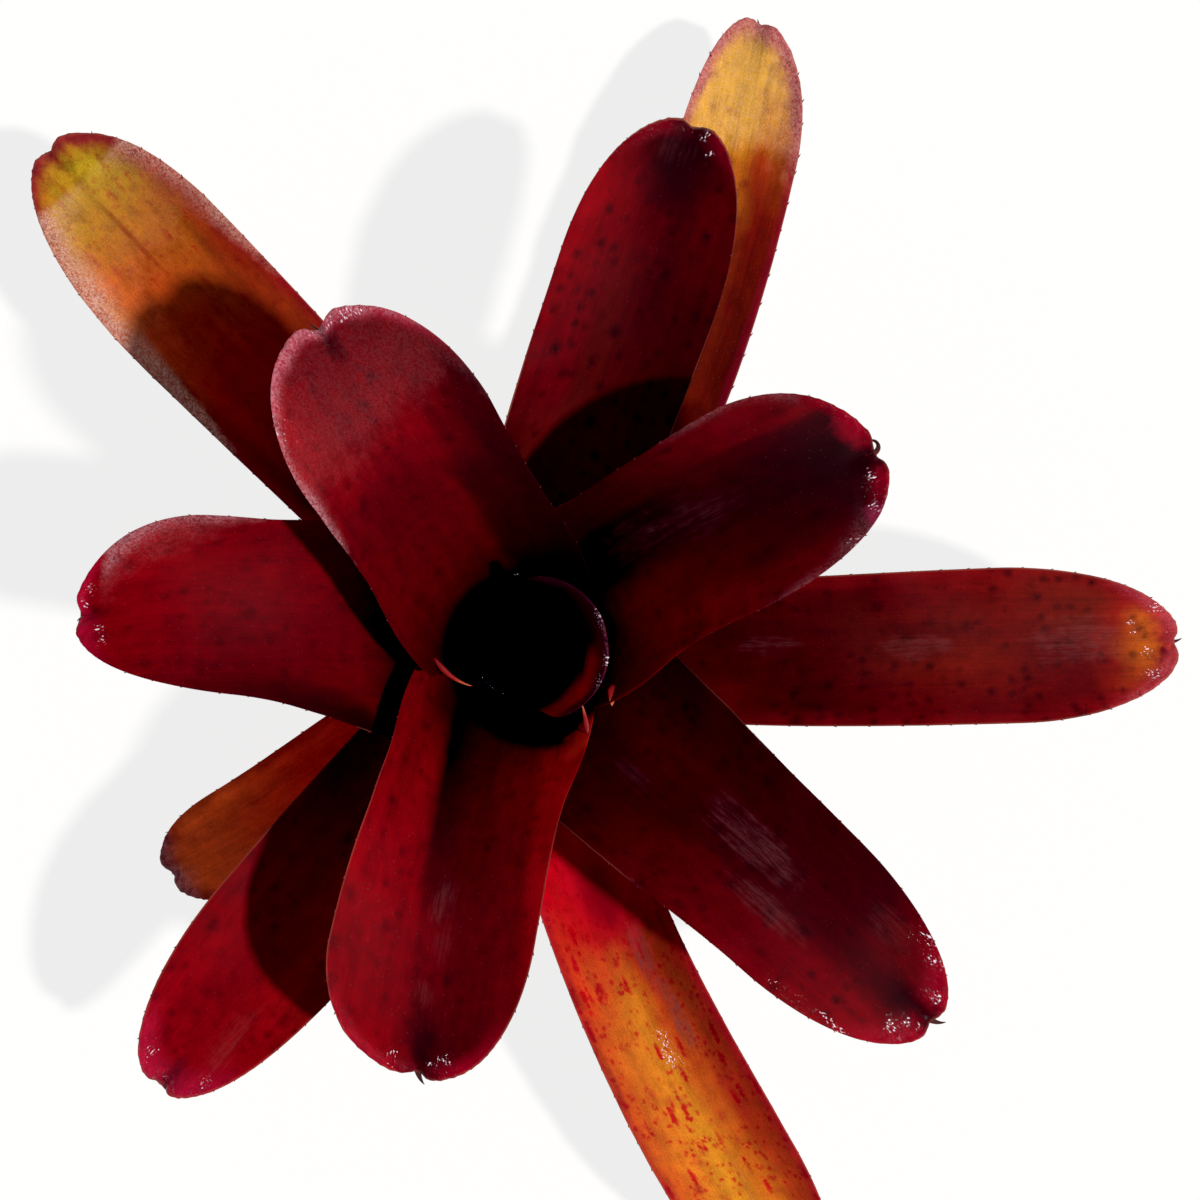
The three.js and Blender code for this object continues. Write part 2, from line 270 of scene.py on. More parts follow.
# %% What all leaves share, in millimetres
FIRST_BASE = (6, 42)
BASE_STEP = (1.5, -2)
RIB_THICK = 1.0
EDGE_THICK = 0.6
COLLAR = 1.25
COLLAR_RADIUS = 17
COLLAR_END = 23
COLLAR_SHIFT = 0.9
NECK_FROM, NECK_TO = 0.3, 0.72
CHANNEL_FROM, CHANNEL_TO = 30, 60
SPOON = 0.8
NOTCH_HALF = 2.8
PINCH = 0.75
PINCH_FROM = 0.4
APEX_WIDTH = 0.04
MIDRIB_TABLE = 401

# %% The shapes of the leaves, from the youngest to the oldest
# azimuth and sweep are degrees; knee, crest and tip are (radius, height) in millimetres, and so are width,
# the channel's depth, the notch at the tip and the sway to the side. neck is the base's share of the
# width, taper the rounded end's length right and left in half widths, wrap the degrees clasped each side.
SHAPES = {
    "heart_leaf_2": dict(azimuth=85, sweep=0, knee=(5, 52), crest=(7, 60), tip=(8, 70),
                         width=14, neck=1, taper=(1.6, 1.6), wrap=70, channel=0, notch=0, sway=0),
    "heart_leaf_1": dict(azimuth=222, sweep=0, knee=(7.5, 56), crest=(10.5, 72), tip=(12, 88),
                         width=22, neck=1, taper=(1.5, 1.5), wrap=75, channel=0, notch=0, sway=0),
    "leaf_01": dict(azimuth=12, sweep=-4, knee=(13, 70), crest=(16, 104), tip=(22, 124),
                    width=36, neck=1, taper=(1, 1), wrap=85, channel=0, notch=1.5, sway=0),
    "leaf_02": dict(azimuth=116.5, sweep=4.5, knee=(16, 86), crest=(52, 162), tip=(89, 140),
                    width=51, neck=1.05, taper=(1.15, 1.2), wrap=80, channel=3, notch=2.4, sway=0),
    "leaf_03": dict(azimuth=249.5, sweep=7, knee=(17, 86), crest=(60, 134), tip=(104, 108),
                    width=50, neck=0.97, taper=(0.95, 1.4), wrap=72, channel=5, notch=0.2, sway=0),
    "leaf_04": dict(azimuth=37, sweep=-8, knee=(22, 78), crest=(58, 138), tip=(97.5, 118),
                    width=50, neck=1.03, taper=(1.5, 0.95), wrap=78, channel=5, notch=0.5, sway=0.4),
    "leaf_05": dict(azimuth=166, sweep=9.5, knee=(24, 76), crest=(66, 122), tip=(107, 100),
                    width=46, neck=1.6, taper=(1.1, 2.2), wrap=76, channel=5, notch=0.2, sway=0),
    "leaf_06": dict(azimuth=317.6, sweep=0.3, knee=(26, 74), crest=(80, 116), tip=(138, 86.5),
                    width=44, neck=1.3, taper=(2.1, 2.5), wrap=74, channel=5, notch=0.2, sway=0.6),
    "leaf_07": dict(azimuth=73.6, sweep=-2, knee=(28, 70), crest=(84, 110), tip=(138, 82),
                    width=42, neck=1.03, taper=(2.1, 1.8), wrap=74, channel=5, notch=0.3, sway=-0.8),
    "leaf_08": dict(azimuth=230.2, sweep=0, knee=(29, 64), crest=(92, 96), tip=(146, 62),
                    width=41, neck=1, taper=(2.7, 3.1), wrap=72, channel=5, notch=0.2, sway=0),
    "leaf_09": dict(azimuth=359.5, sweep=1, knee=(30, 60), crest=(105, 88), tip=(170, 52.5),
                    width=40, neck=0.98, taper=(2.3, 2.5), wrap=70, channel=5, notch=0.2, sway=0.8),
    "leaf_10": dict(azimuth=133, sweep=0.8, knee=(31, 56), crest=(110, 82), tip=(181, 45),
                    width=42.5, neck=0.95, taper=(2.1, 2.7), wrap=68, channel=5, notch=0.2, sway=0.4),
    "leaf_11": dict(azimuth=287, sweep=7, knee=(32, 50), crest=(115, 72), tip=(191, 32),
                    width=36, neck=0.9, taper=(2.6, 2.6), wrap=66, channel=4, notch=1, sway=1.6),
    "leaf_12": dict(azimuth=61, sweep=8.5, knee=(33, 46), crest=(112, 62), tip=(180, 26),
                    width=33, neck=1.01, taper=(2.4, 2.8), wrap=64, channel=4, notch=0.4, sway=2),
    "leaf_13": dict(azimuth=215.5, sweep=-2.8, knee=(34, 40), crest=(80, 50), tip=(115, 16),
                    width=29, neck=1.1, taper=(2, 2.1), wrap=62, channel=4, notch=0.6, sway=0),
}
HEARTS = 2
print("leaves:", len(SHAPES))


# %% Curves as array sums
def smooth(x, low, high):
    """0 up to low, 1 from high on, and the S-curve 3t^2 - 2t^3 between them."""
    t = np.clip((x - low) / (high - low), 0, 1)
    return t * t * (3 - 2 * t)


def mix(a, b, t):
    """a at share 0, b at share 1 and a straight line between."""
    return a + (b - a) * t


def unit(vectors):
    """Vectors divided by their lengths."""
    return vectors / np.linalg.norm(vectors, axis=-1, keepdims=True)


class Midrib:
    """The cubic curve (1-t)^3 A + 3(1-t)^2 t B + 3(1-t) t^2 C + t^3 D, read by its length u from 0 to 1.

    A table of values of t and the lengths reached there turns u into t.
    """

    def __init__(self, *points):
        self.points = np.array(points, float)
        self.table = np.linspace(0, 1, MIDRIB_TABLE)
        steps = np.linalg.norm(np.diff(self.at(self.table), axis=0), axis=1)
        reached = np.concatenate([[0], np.cumsum(steps)])
        self.length = reached[-1]
        self.reached = reached / self.length

    def at(self, t):
        """The point, as (radius, height), at the curve's own t."""
        t = np.asarray(t)[..., None]
        a, b, c, d = self.points
        return (1 - t) ** 3 * a + 3 * (1 - t) ** 2 * t * b + 3 * (1 - t) * t ** 2 * c + t ** 3 * d

    def point_and_direction(self, u):
        """The point and the unit slope at a share u of the length."""
        t = np.interp(u, self.reached, self.table)
        a, b, c, d = np.diff(self.points, axis=0)[[0, 1, 1, 2]]
        s = t[..., None]
        slope = (1 - s) ** 2 * a + (1 - s) * s * (b + c) + s ** 2 * d
        return self.at(t), unit(slope)


# %% [markdown]
# A real leaf is never as smooth as its curve. Its margins swing up and down by a fraction of a millimetre,
# the blade has shallow dents, and the end's rim is rolled and puckered. These small moves could come from
# a noise texture that displaces the mesh. Here they are sums of sines in the formula, because those need
# no random numbers and fade out where the leaves clasp.

# %% The leaf's surface
RIPPLE = 0.45
LONG_WAVE, SHORT_WAVE = 33, 14.3
DENT = 0.22
ROLL = 0.9
ROLL_WIDTH = 1.8
ROLL_FROM, ROLL_TO = 0.1, 0.8
PUCKER = 0.16
CRINKLE = 0.06
FREE_FROM, FREE_TO = 34, 62
PHASE_STEP = 1.7
FRAME_STEP = 0.002


class Leaf:
    """The surface of one leaf: u runs along it from 0 to 1, x across it in millimetres, left above 0."""

    def __init__(self, name, shape, order):
        self.name = name
        self.shape = shape
        base = (FIRST_BASE[0] + BASE_STEP[0] * order, FIRST_BASE[1] + BASE_STEP[1] * order)
        self.midrib = Midrib(base, shape["knee"], shape["crest"], shape["tip"])
        self.length = self.midrib.length
        self.ends = [share * shape["width"] / 2 for share in shape["taper"]]
        self.mean_end = sum(self.ends) / 2
        self.collar_start = COLLAR_RADIUS + COLLAR_SHIFT * order
        self.phase = PHASE_STEP * order

    def blade(self, u):
        """Half the width without the rounded end: the neck widens to the blade on an S-curve."""
        share = mix(self.shape["neck"], 1, smooth(u, NECK_FROM, NECK_TO))
        return self.shape["width"] / 2 * share

    def end_share(self, u, end):
        """0 up to the rounded end, then rising evenly to 1 at the tip."""
        return np.maximum(1 - (1 - u) * self.length / end, 0)

    def half_width(self, u, side):
        """The lesser of the clasped arc and the collar, times the round end sqrt(1 - share^2)."""
        radius = self.midrib.point_and_direction(u)[0][..., 0]
        narrowing = smooth(radius, self.collar_start, self.collar_start + COLLAR_END)
        collar = self.blade(u) * mix(COLLAR, 1, narrowing)
        end = np.where(side > 0, self.ends[1], self.ends[0])
        round_end = np.sqrt(np.maximum(1 - self.end_share(u, end) ** 2, APEX_WIDTH ** 2))
        return np.minimum(radius * self.shape["wrap"] * DEG, collar) * round_end

    def edge_distance(self, u, x):
        """How far inside the margin a point lies: wide * (1 - sqrt((x / wide)^2 + end_share^2)), with wide
        the half width short of the rounded end."""
        end = np.where(x > 0, self.ends[1], self.ends[0])
        wide = np.maximum(self.half_width(u * 0 + np.minimum(u, 0.5), x), self.blade(u))
        return wide * (1 - np.sqrt((x / wide) ** 2 + self.end_share(u, end) ** 2))

    def point(self, u, x):
        """The middle surface, in millimetres.

        Lift is the channel's square of x, the spoon's square of the end share, less by the pinch near the
        midrib, and the small moves. It acts square to the midrib's direction, and x bends round the axis.
        """
        shape = self.shape
        cleft = np.exp(-(x / NOTCH_HALF) ** 2)
        end = self.end_share(u, self.mean_end) ** 2
        at = u - shape["notch"] / self.length * cleft * end
        place, along = self.midrib.point_and_direction(at)
        across = x / self.blade(u)
        opening = smooth(place[..., 0], CHANNEL_FROM, CHANNEL_TO)
        pinch = PINCH * cleft * smooth(end, PINCH_FROM, 1)
        lift = shape["channel"] * opening * (across ** 2 + SPOON * end * (1 - pinch))
        lift = lift + smooth(place[..., 0], FREE_FROM, FREE_TO) * self.small_moves(u, x, across)
        radius = place[..., 0] - lift * along[..., 1]
        height = place[..., 1] + lift * along[..., 0]
        side = x - shape["sway"] * np.sin(2 * np.pi * u)
        angle = (shape["azimuth"] + shape["sweep"] * u * u) * DEG + side / place[..., 0]
        return np.stack([radius * np.cos(angle), radius * np.sin(angle), height], -1)

    def small_moves(self, u, x, across):
        """Ripples that grow with the cube of across, dents of crossed sines, and the end's puckered lip. The
        sines' lengths have no common measure, so nothing repeats."""
        s = u * self.length
        turn = self.phase + np.where(x > 0, 2.1, 0.0)
        swell = 2 * np.pi * s
        ripple = np.sin(swell / LONG_WAVE + turn) + 0.6 * np.sin(swell / SHORT_WAVE + 2.3 * turn)
        dents = np.sin(s / 7.3 + self.phase) * np.cos(x / 5.1 + 0.8 * self.phase)
        dents = dents + 0.7 * np.sin(s / 4.1 + x / 6.7 + self.phase)
        endness = smooth(self.end_share(u, self.mean_end), ROLL_FROM, ROLL_TO)
        rim = np.exp(-(self.edge_distance(u, x) / ROLL_WIDTH) ** 2)
        pucker = np.sin(2.4 * x + self.phase) * np.sin(1.9 * s - 0.7 * x) + np.sin(1.3 * x - 2.2 * s)
        crinkle = np.sin(4.1 * x + 1.7 * s + self.phase) * np.sin(3.4 * s - 2.2 * x)
        lip = (ROLL + PUCKER * pucker + CRINKLE * crinkle) * rim * endness
        return RIPPLE * ripple * np.abs(across) ** 3 * (1 - endness) + DENT * dents + lip

    def frame(self, u, x):
        """Unit directions at a point, from differences: along the leaf, across it and up from it."""
        ahead, behind = np.minimum(u + FRAME_STEP, 1), np.maximum(u - FRAME_STEP, 0)
        along = unit(self.point(ahead, x) - self.point(behind, x))
        across = unit(self.point(u, x + FRAME_STEP) - self.point(u, x - FRAME_STEP))
        return along, across, unit(np.cross(along, across))


# %% [markdown]
# ## From the formula to a mesh
#
# Each row of the mesh is a closed loop: over the leaf's upper face from the right margin to the left one,
# and back under it. A Solidify modifier could give a single sheet its thickness, but its edge would be
# square, and a leaf's margin is sharp. The rows lie evenly up to the round end and then in even steps of
# angle, so the end stays round. One face closes each of the two end loops. With the points go the leaf's
# own coordinates, which its pattern will follow.

# %% Mesh helper
ROW_STEP = 1.2
END_ROWS = 56
COLUMNS = 60
MARGIN_POWER = 14
BAKE_MAP = "OFBake"
MAP_UPPER, MAP_LOWER, MAP_WIDE = 0.01, 0.52, 0.47
MAP_FROM, MAP_LONG = 0.02, 0.96
MAP_DOT = 0.004


def make_piece(name, points, face_groups, material, attributes=None, corner_map=None):
    """A smooth mesh object from arrays: points in metres, and groups of faces with equal corner counts."""
    mesh = bpy.data.meshes.new(name)
    mesh.vertices.add(len(points))
    mesh.vertices.foreach_set("co", points.astype(np.float32).ravel())
    corners = np.concatenate([group.ravel() for group in face_groups]).astype(np.int32)
    sizes = np.concatenate([np.full(len(group), group.shape[1]) for group in face_groups])
    mesh.loops.add(len(corners))
    mesh.loops.foreach_set("vertex_index", corners)
    mesh.polygons.add(len(sizes))
    starts = np.concatenate([[0], np.cumsum(sizes)[:-1]])
    mesh.polygons.foreach_set("loop_start", starts.astype(np.int32))
    mesh.update(calc_edges=True)
    mesh.polygons.foreach_set("use_smooth", np.ones(len(sizes), bool))
    for key_name, values in (attributes or {}).items():
        layer = mesh.attributes.new(key_name, "FLOAT", "POINT")
        layer.data.foreach_set("value", values.astype(np.float32).ravel())
    if corner_map is not None:
        layer = mesh.uv_layers.new(name=BAKE_MAP)
        layer.uv.foreach_set("vector", corner_map.astype(np.float32).ravel())
    mesh.materials.append(material)
    piece = bpy.data.objects.new(name, mesh)
    bpy.context.scene.collection.objects.link(piece)
    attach(piece, "root")
    return piece


def stack_faces(rows, count):
    """Faces of a stack of rings of count points each: quads between rings, then a face on the first ring
    and one on the last. They point outwards where the rings turn left seen from the last one."""
    i, k = np.meshgrid(np.arange(rows - 1), np.arange(count), indexing="ij")
    after = (k + 1) % count
    low, high = i * count, (i + 1) * count
    quads = np.stack([low + k, low + after, high + after, high + k], -1).reshape(-1, 4)
    ring = np.arange(count)[None]
    return [quads, ring[:, ::-1], ring + (rows - 1) * count]


# %% The leaf mesh
def row_places(leaf):
    """Even rows up to the round end, then rows at the sines of even angles."""
    straight = 1 - leaf.mean_end / leaf.length
    count = int(round(straight * leaf.length / ROW_STEP))
    body = straight * np.arange(count) / count
    end = mix(straight, 1, np.sin(np.linspace(0, np.pi / 2, END_ROWS)))
    return np.concatenate([body, end])


def leaf_mesh(leaf, material):
    """Loops over the upper face and back under it. With v the share of the half width, the sine of an even
    angle so that columns crowd at the margins, the thickness is thick * sqrt(1 - v^MARGIN_POWER)."""
    rows = row_places(leaf)
    v = np.sin(np.linspace(-np.pi / 2, np.pi / 2, COLUMNS))
    u = np.repeat(rows[:, None], COLUMNS, 1)
    x = v * leaf.half_width(u, v + 0 * u)
    middle = leaf.point(u, x)
    up = leaf.frame(u, x)[2]
    thick = mix(RIB_THICK, EDGE_THICK, v * v) * np.sqrt(1 - np.abs(v) ** MARGIN_POWER)
    shift = up * thick[:, None] / 2
    loops = np.concatenate([middle + shift, (middle - shift)[:, -2:0:-1]], 1)

    kept = {
        "along": (u, u),
        "run": (u * leaf.length,) * 2,
        "across": (x, x),
        "side": (x / leaf.blade(u),) * 2,
        "edge": (leaf.edge_distance(u, x),) * 2,
        "reach": (np.hypot(middle[..., 0], middle[..., 1]),) * 2,
        "under": (u * 0, u * 0 + 1),
    }
    attributes = {key: np.concatenate([upper, lower[:, -2:0:-1]], 1) for key, (upper, lower) in kept.items()}
    size = loops.shape[:2]
    quads, base, end = stack_faces(*size)
    faces = [quads[:, [0, 3, 2, 1]], base[:, ::-1], end[:, ::-1]]  # these rings turn right
    points = loops.reshape(-1, 3) * MM
    return make_piece(leaf.name + "_blade", points, faces, material, attributes, bake_places(*size))


def bake_places(rows, count):
    """A flat map: the upper face fills the left half, the lower face the right, and the two end faces are
    dots in strips at the bottom and the top."""
    half = count // 2
    i, k = np.meshgrid(np.arange(rows - 1), np.arange(count), indexing="ij")
    right = k >= half
    low = np.stack([i, i + 1, i + 1, i], -1) / (rows - 1)
    col = (np.stack([k, k, k + 1, k + 1], -1) - half * right[..., None]) / half
    across = MAP_UPPER + MAP_WIDE * col + (MAP_LOWER - MAP_UPPER) * right[..., None]
    quads = np.stack([across, MAP_FROM + MAP_LONG * low], -1).reshape(-1, 2)
    turn = np.arange(count) / count * 2 * np.pi
    ring = np.stack([0.5 + MAP_DOT * np.cos(turn), MAP_FROM / 2 + MAP_DOT * np.sin(turn)], 1)
    return np.concatenate([quads, ring, ring + (0, 1 - MAP_FROM)])


# %% [markdown]
# ## Spines and thorns
#
# Both margins carry small hooked spines that lean towards the tip, and the tip ends in a thorn. They could
# be scattered as instances, but an export would lose those. All spines of a leaf are made in one go
# instead: one horn is a stack of rings that shrink along a bent line, and the same sums make every horn
# because the arrays have one row for each.

# %% Horns
HORN_POWER = 0.8
HORN_WAIST, HORN_FULL = 0.4, 0.3


def horns(root, forward, toward, length, bend, late, wide, flat, rings, sides):
    """Closed horns, one for each row of root, as points, faces and the points' shares of the length.

    At share t a horn's line points at the angle bend * t^late from forward to toward, and short straight
    steps of length / rings follow it. Round it stand rings with half widths wide and flat, times
    (1 - t)^HORN_POWER and only HORN_WAIST of that at the root, and the point closes it.
    """
    t = np.linspace(0, 1, rings + 1)
    turn = np.arange(sides) / sides * 2 * np.pi
    length = length[:, None, None]
    binormal = unit(np.cross(forward, toward))[:, None]
    forward, toward = forward[:, None], toward[:, None]
    between = bend * ((t[:-1] + t[1:]) / 2)[None, :, None] ** late
    steps = (np.cos(between) * forward + np.sin(between) * toward) * length / rings
    line = root[:, None] + np.concatenate([0 * root[:, None], np.cumsum(steps, 1)], 1)
    angle = bend * t[None, :-1, None] ** late
    inward = np.cos(angle) * toward - np.sin(angle) * forward
    shrink = (1 - t[:-1]) ** HORN_POWER * mix(HORN_WAIST, 1, smooth(t[:-1], 0, HORN_FULL))
    shrink = shrink[None, :, None, None]
    ring = wide * np.cos(turn)[None, None, :, None] * inward[:, :, None]
    ring = ring + flat * np.sin(turn)[None, None, :, None] * binormal[:, :, None]
    stack = line[:, :-1, None] + shrink * ring
    count = len(root)
    points = np.concatenate([stack.reshape(count, -1, 3), line[:, -1:]], 1)
    each = points.shape[1]
    start = np.arange(count)[:, None, None] * each
    quads, floor, last = stack_faces(rings, sides)
    caps = np.stack([last[0], np.roll(last[0], -1), np.full(sides, each - 1)], -1)
    faces = [(group[None] + start).reshape(-1, group.shape[1]) for group in (quads, caps, floor)]
    share = np.broadcast_to(np.append(np.repeat(t[:-1], sides), 1.0), (count, each))
    return points.reshape(-1, 3), faces, share.reshape(-1)


# %% Spines of one leaf
SPINE_STEP = 6.8
SPINE_JITTER = 1.5
SPINE_LENGTH = (0.45, 0.8)
SPINE_ROOT = 0.9
SPINE_WIDE, SPINE_FLAT = 0.4, 0.16
SPINE_LEAN = 48 * DEG
SPINE_BEND = 0.5
SPINE_RINGS, SPINE_SIDES = 4, 6
SPINES_FROM = 30
SPINES_SHARE = 0.75
SPINES_END = 7
SPINE_SEED = 11
LONG_SPINES = {"leaf_12": 1.5, "leaf_13": 1.3}
print("a spine every", SPINE_STEP, "mm of each margin")

# %% The thorns and the torn slips
# A thorn has its length beyond the tip, its bend in radians, the side it bends to and its root's radius.
# The thorn of leaf_04 is a ring, because it bends late and far.
THORN_ROOT = 2.6
THORN_FLAT = 0.8
THORN_DROP = 0.3
THORN_RINGS, THORN_SIDES = 26, 8
PLAIN_THORN = (3.0, 0.5, 1, 0.7)
THORNS = {
    "leaf_01": (2.4, 0.5, -1, 0.5), "leaf_02": (3.0, 0.6, 1, 0.6), "leaf_03": (5.0, 0.7, 1, 1.3),
    "leaf_04": (7.5, 5.4, 1, 1.0), "leaf_05": (2.6, 0.5, 1, 0.8), "leaf_06": (5.0, 0.9, 1, 1.2),
    "leaf_07": (1.5, 0.9, -1, 0.7), "leaf_08": (4.2, 2.2, 1, 0.45), "leaf_09": (3.4, 0.5, 1, 0.8),
    "leaf_10": (1.6, 0.8, 1, 0.7), "leaf_12": (2.0, 0.3, 1, 0.7), "leaf_13": (1.2, 0.3, 1, 0.5),
}
PLAIN_LATE = 1.6
LATE_BENDS = {"leaf_04": 2.4}
# Three torn slips of margin curl up round the cup. A slip has its place along and to the side, its length,
# heading and rise in degrees, bend in radians and half width.
CURL_LIFT = 1.2
CURL_LATE = 1.2
CURL_FLAT = 0.3
CURL_RINGS, CURL_SIDES = 14, 10
CURLS = {
    "leaf_02": (0.332, 0.97, 12.5, -56, -4, 0.75, 1.0),
    "leaf_03": (0.352, 1.13, 8, 95, 2, 0.2, 1.0),
    "leaf_04": (0.3, -0.98, 5.5, -105, 6, 0.3, 2.0),
}
KIND_SPINE, KIND_THORN, KIND_CURL = 0, 1, 2


def spine_rows(leaf, rng):
    """Where the spines stand, as u, x and the margin's sign: every SPINE_STEP with a seeded shift, staggered
    by half a step from margin to margin, and only outside the cup."""
    places = np.arange(SPINE_STEP / 2, leaf.length - SPINES_END, SPINE_STEP)
    u = np.concatenate([places, places + SPINE_STEP / 2])
    edge = np.repeat([1.0, -1.0], len(places))
    u = (u + SPINE_JITTER * rng.uniform(-1, 1, len(u))) / leaf.length
    radius = leaf.midrib.point_and_direction(u)[0][:, 0]
    first = min(SPINES_FROM, SPINES_SHARE * leaf.shape["tip"][0])
    kept = (radius > first) & (u < 1 - SPINES_END / leaf.length)
    u, edge = u[kept], edge[kept]
    return u, edge * leaf.half_width(u, edge), edge


def margin_spines(leaf, rng):
    """Horns that lean from square to the margin towards the tip, and bend that way too."""
    u, x, edge = spine_rows(leaf, rng)
    along, across, _ = leaf.frame(u, x)
    forward = unit(across * edge[:, None] * np.cos(SPINE_LEAN) + along * np.sin(SPINE_LEAN))
    toward = unit(np.cross(np.cross(forward, along), forward))
    length = rng.uniform(*SPINE_LENGTH, len(u)) * LONG_SPINES.get(leaf.name, 1) + SPINE_ROOT
    root = leaf.point(u, x) - forward * SPINE_ROOT
    return horns(root, forward, toward, length, SPINE_BEND, 1, SPINE_WIDE, SPINE_FLAT,
                 SPINE_RINGS, SPINE_SIDES)


def tip_thorn(leaf):
    """One horn that leaves the tip straight ahead and bends to its side and a little down."""
    length, bend, way, radius = THORNS.get(leaf.name, PLAIN_THORN)
    late = LATE_BENDS.get(leaf.name, PLAIN_LATE)
    one, zero = np.array([1.0]), np.array([0.0])
    root = leaf.point(one - THORN_ROOT / leaf.length, zero)
    ahead = unit(leaf.point(one, zero) - leaf.point(one - 3 * THORN_ROOT / leaf.length, zero))
    sideways = leaf.frame(one, zero)[1] * way - [[0, 0, THORN_DROP]]
    toward = unit(sideways - ahead * (sideways * ahead).sum(-1, keepdims=True))
    return horns(root, ahead, toward, np.array([length + THORN_ROOT]), bend, late,
                 radius, radius * THORN_FLAT, THORN_RINGS, THORN_SIDES)


def torn_slip(leaf):
    """A torn slip of the margin: a flat horn that leaves the leaf nearly level and bends to the left."""
    along, side, length, heading, rise, bend, wide = CURLS[leaf.name]
    u = np.array([along])
    root = leaf.point(u, side * leaf.blade(u)) + [[0, 0, CURL_LIFT]]
    heading, rise = heading * DEG, rise * DEG
    level = np.cos(rise)
    forward = np.array([[np.cos(heading) * level, np.sin(heading) * level, np.sin(rise)]])
    toward = np.array([[-np.sin(heading), np.cos(heading), 0.0]])
    return horns(root, forward, toward, np.array([length]), bend, CURL_LATE, wide, CURL_FLAT,
                 CURL_RINGS, CURL_SIDES)


def leaf_spines(leaf, material, rng):
    """The margins' spines, the tip's thorn and the torn slip, if there is one, in one piece."""
    parts = [(KIND_SPINE, *margin_spines(leaf, rng)), (KIND_THORN, *tip_thorn(leaf))]
    if leaf.name in CURLS:
        parts.append((KIND_CURL, *torn_slip(leaf)))
    kinds, points, faces, shares = zip(*parts)
    starts = np.cumsum([0] + [len(some) for some in points])
    faces = [group + start for groups, start in zip(faces, starts) for group in groups]
    attributes = {"share": np.concatenate(shares),
                  "kind": np.concatenate([share * 0 + kind for kind, share in zip(kinds, shares)])}
    return make_piece(leaf.name + "_spines", np.concatenate(points) * MM, faces, material, attributes)


# %% [markdown]
# ## The finish of the leaves
#
# The colour of a neoregelia is skin deep: red pigment over green, strongest where the sun falls, with dark
# spots, fine lengthwise lines and a dust of silvery scales. It could be painted on each leaf, but that
# would take a picture apiece. Here one recipe draws it on the leaf's own coordinates, so lines run along
# the blade and spots keep their size, and a short list of colours and strengths tells leaf from leaf.
# The recipe also paints light and shade: the cup's shade, the hollow behind the thorn, sheen, glints and a
# few bands.

# %% Colours
CRIMSON = (0.27, 0.001, 0.011)
MAGENTA = (0.36, 0.005, 0.030)
BLOOD = (0.15, 0.002, 0.003)
CHERRY = (0.32, 0.006, 0.008)
# Near black: the dark spots, and the painted shade in the hollow behind the thorn.
SPOT_DARK_AND_PAINTED_SHADE = (0.012, 0.0002, 0.0005)
BLOOM = (0.62, 0.33, 0.38)
# Silvery scales; on leaf_10 and leaf_12 the bloom in this colour is also a painted sheen.
SILVER_SCALES_AND_SHEEN = (0.70, 0.41, 0.32)
# A painted sheen: sun shining off streaky wax.
PAINTED_SHEEN = (0.12, 0.034, 0.036)
DOT_TINT = (0.78, 0.05, 0.5)
# A painted highlight: the pale colour of glints of sun and sky on wet spots.
PAINTED_GLINT = (0.85, 0.7, 0.8)
EMBER = (0.5, 0.02, 0.008)
PALE_EDGE = (0.34, 0.11, 0.07)
SHEATH = (0.33, 0.27, 0.13)
OLIVE = (0.10, 0.055, 0.02)
# Painted shade: the black deep inside the cup.
CUP_PAINTED_SHADE = (0.0005, 0.0, 0.0)


def pigment(strength, warmth):
    """A leaf colour: strength is the red it returns, warmth goes from wine red at 0 to lime at 1."""
    return (strength, strength * (0.003 + 0.5 * warmth), strength * (0.012 + 0.01 * warmth))


# %% How each leaf is coloured
# A leaf has a few bands side by side, each (side, stops): side is 1 at the left margin and -1 at the right,
# a stop is (how far along, strength, warmth). A patch is an oval, (along, side, half length, half width,
# strength): sheen patches are painted sheen, wet is gloss, glints are painted highlights, and tints
# have their colour before the strength. Widths are in millimetres from the margin; from and to, places along.
PLAIN_LOOK = dict(
    blur=0.5, lean=0,                               # how the bands run into each other, and their slant
    # The black of the cup is painted shade.
    cup=(19, 22, 0),                                # radii where the black of the cup is full and gone, tilt
    margin=0, margin_color=BLOOD, margin_width=4,   # a border all round
    rim=CRIMSON, rim_width=4.5, rim_strength=0.85, rim_from=0.84, pale_edge=0.25,
    spots=0.55, spot_color=SPOT_DARK_AND_PAINTED_SHADE, dots=0, lines=0.25,
    # the painted shade in the hollow behind the thorn
    painted_pit_shade=0.8, pit_from=0.88, pit_width=4, pit_side=0,
    bloom=0, bloom_rim=0, bloom_color=BLOOM, bloom_from=0.8, bloom_to=1.1,
    bloom_side=0, bloom_margin=0, bloom_width=5,    # its slant, how far it follows the margin, and how wide
    dust=0.15, shine=0.12, glint_inset=0.05,
    sheen_patches=(), wet=(), painted_glints=(), tints=())
# The heart leaves are painted near black all over: painted shade deep in the cup.
HEART_LOOK = dict(
    bands=[(0, [(0, 0, 0), (1, 0.004, 0)])],
    spots=0, rim_strength=0, pale_edge=0, dust=0, cup=(40, 50, 0), wet=[(0.9, 0, 0.12, 0.7, 1)],
    painted_glints=[(0.37, -0.46, 0.03, 0.12, 1), (0.4, -0.34, 0.03, 0.12, 1), (0.6, 0.1, 0.06, 0.3, 1)])
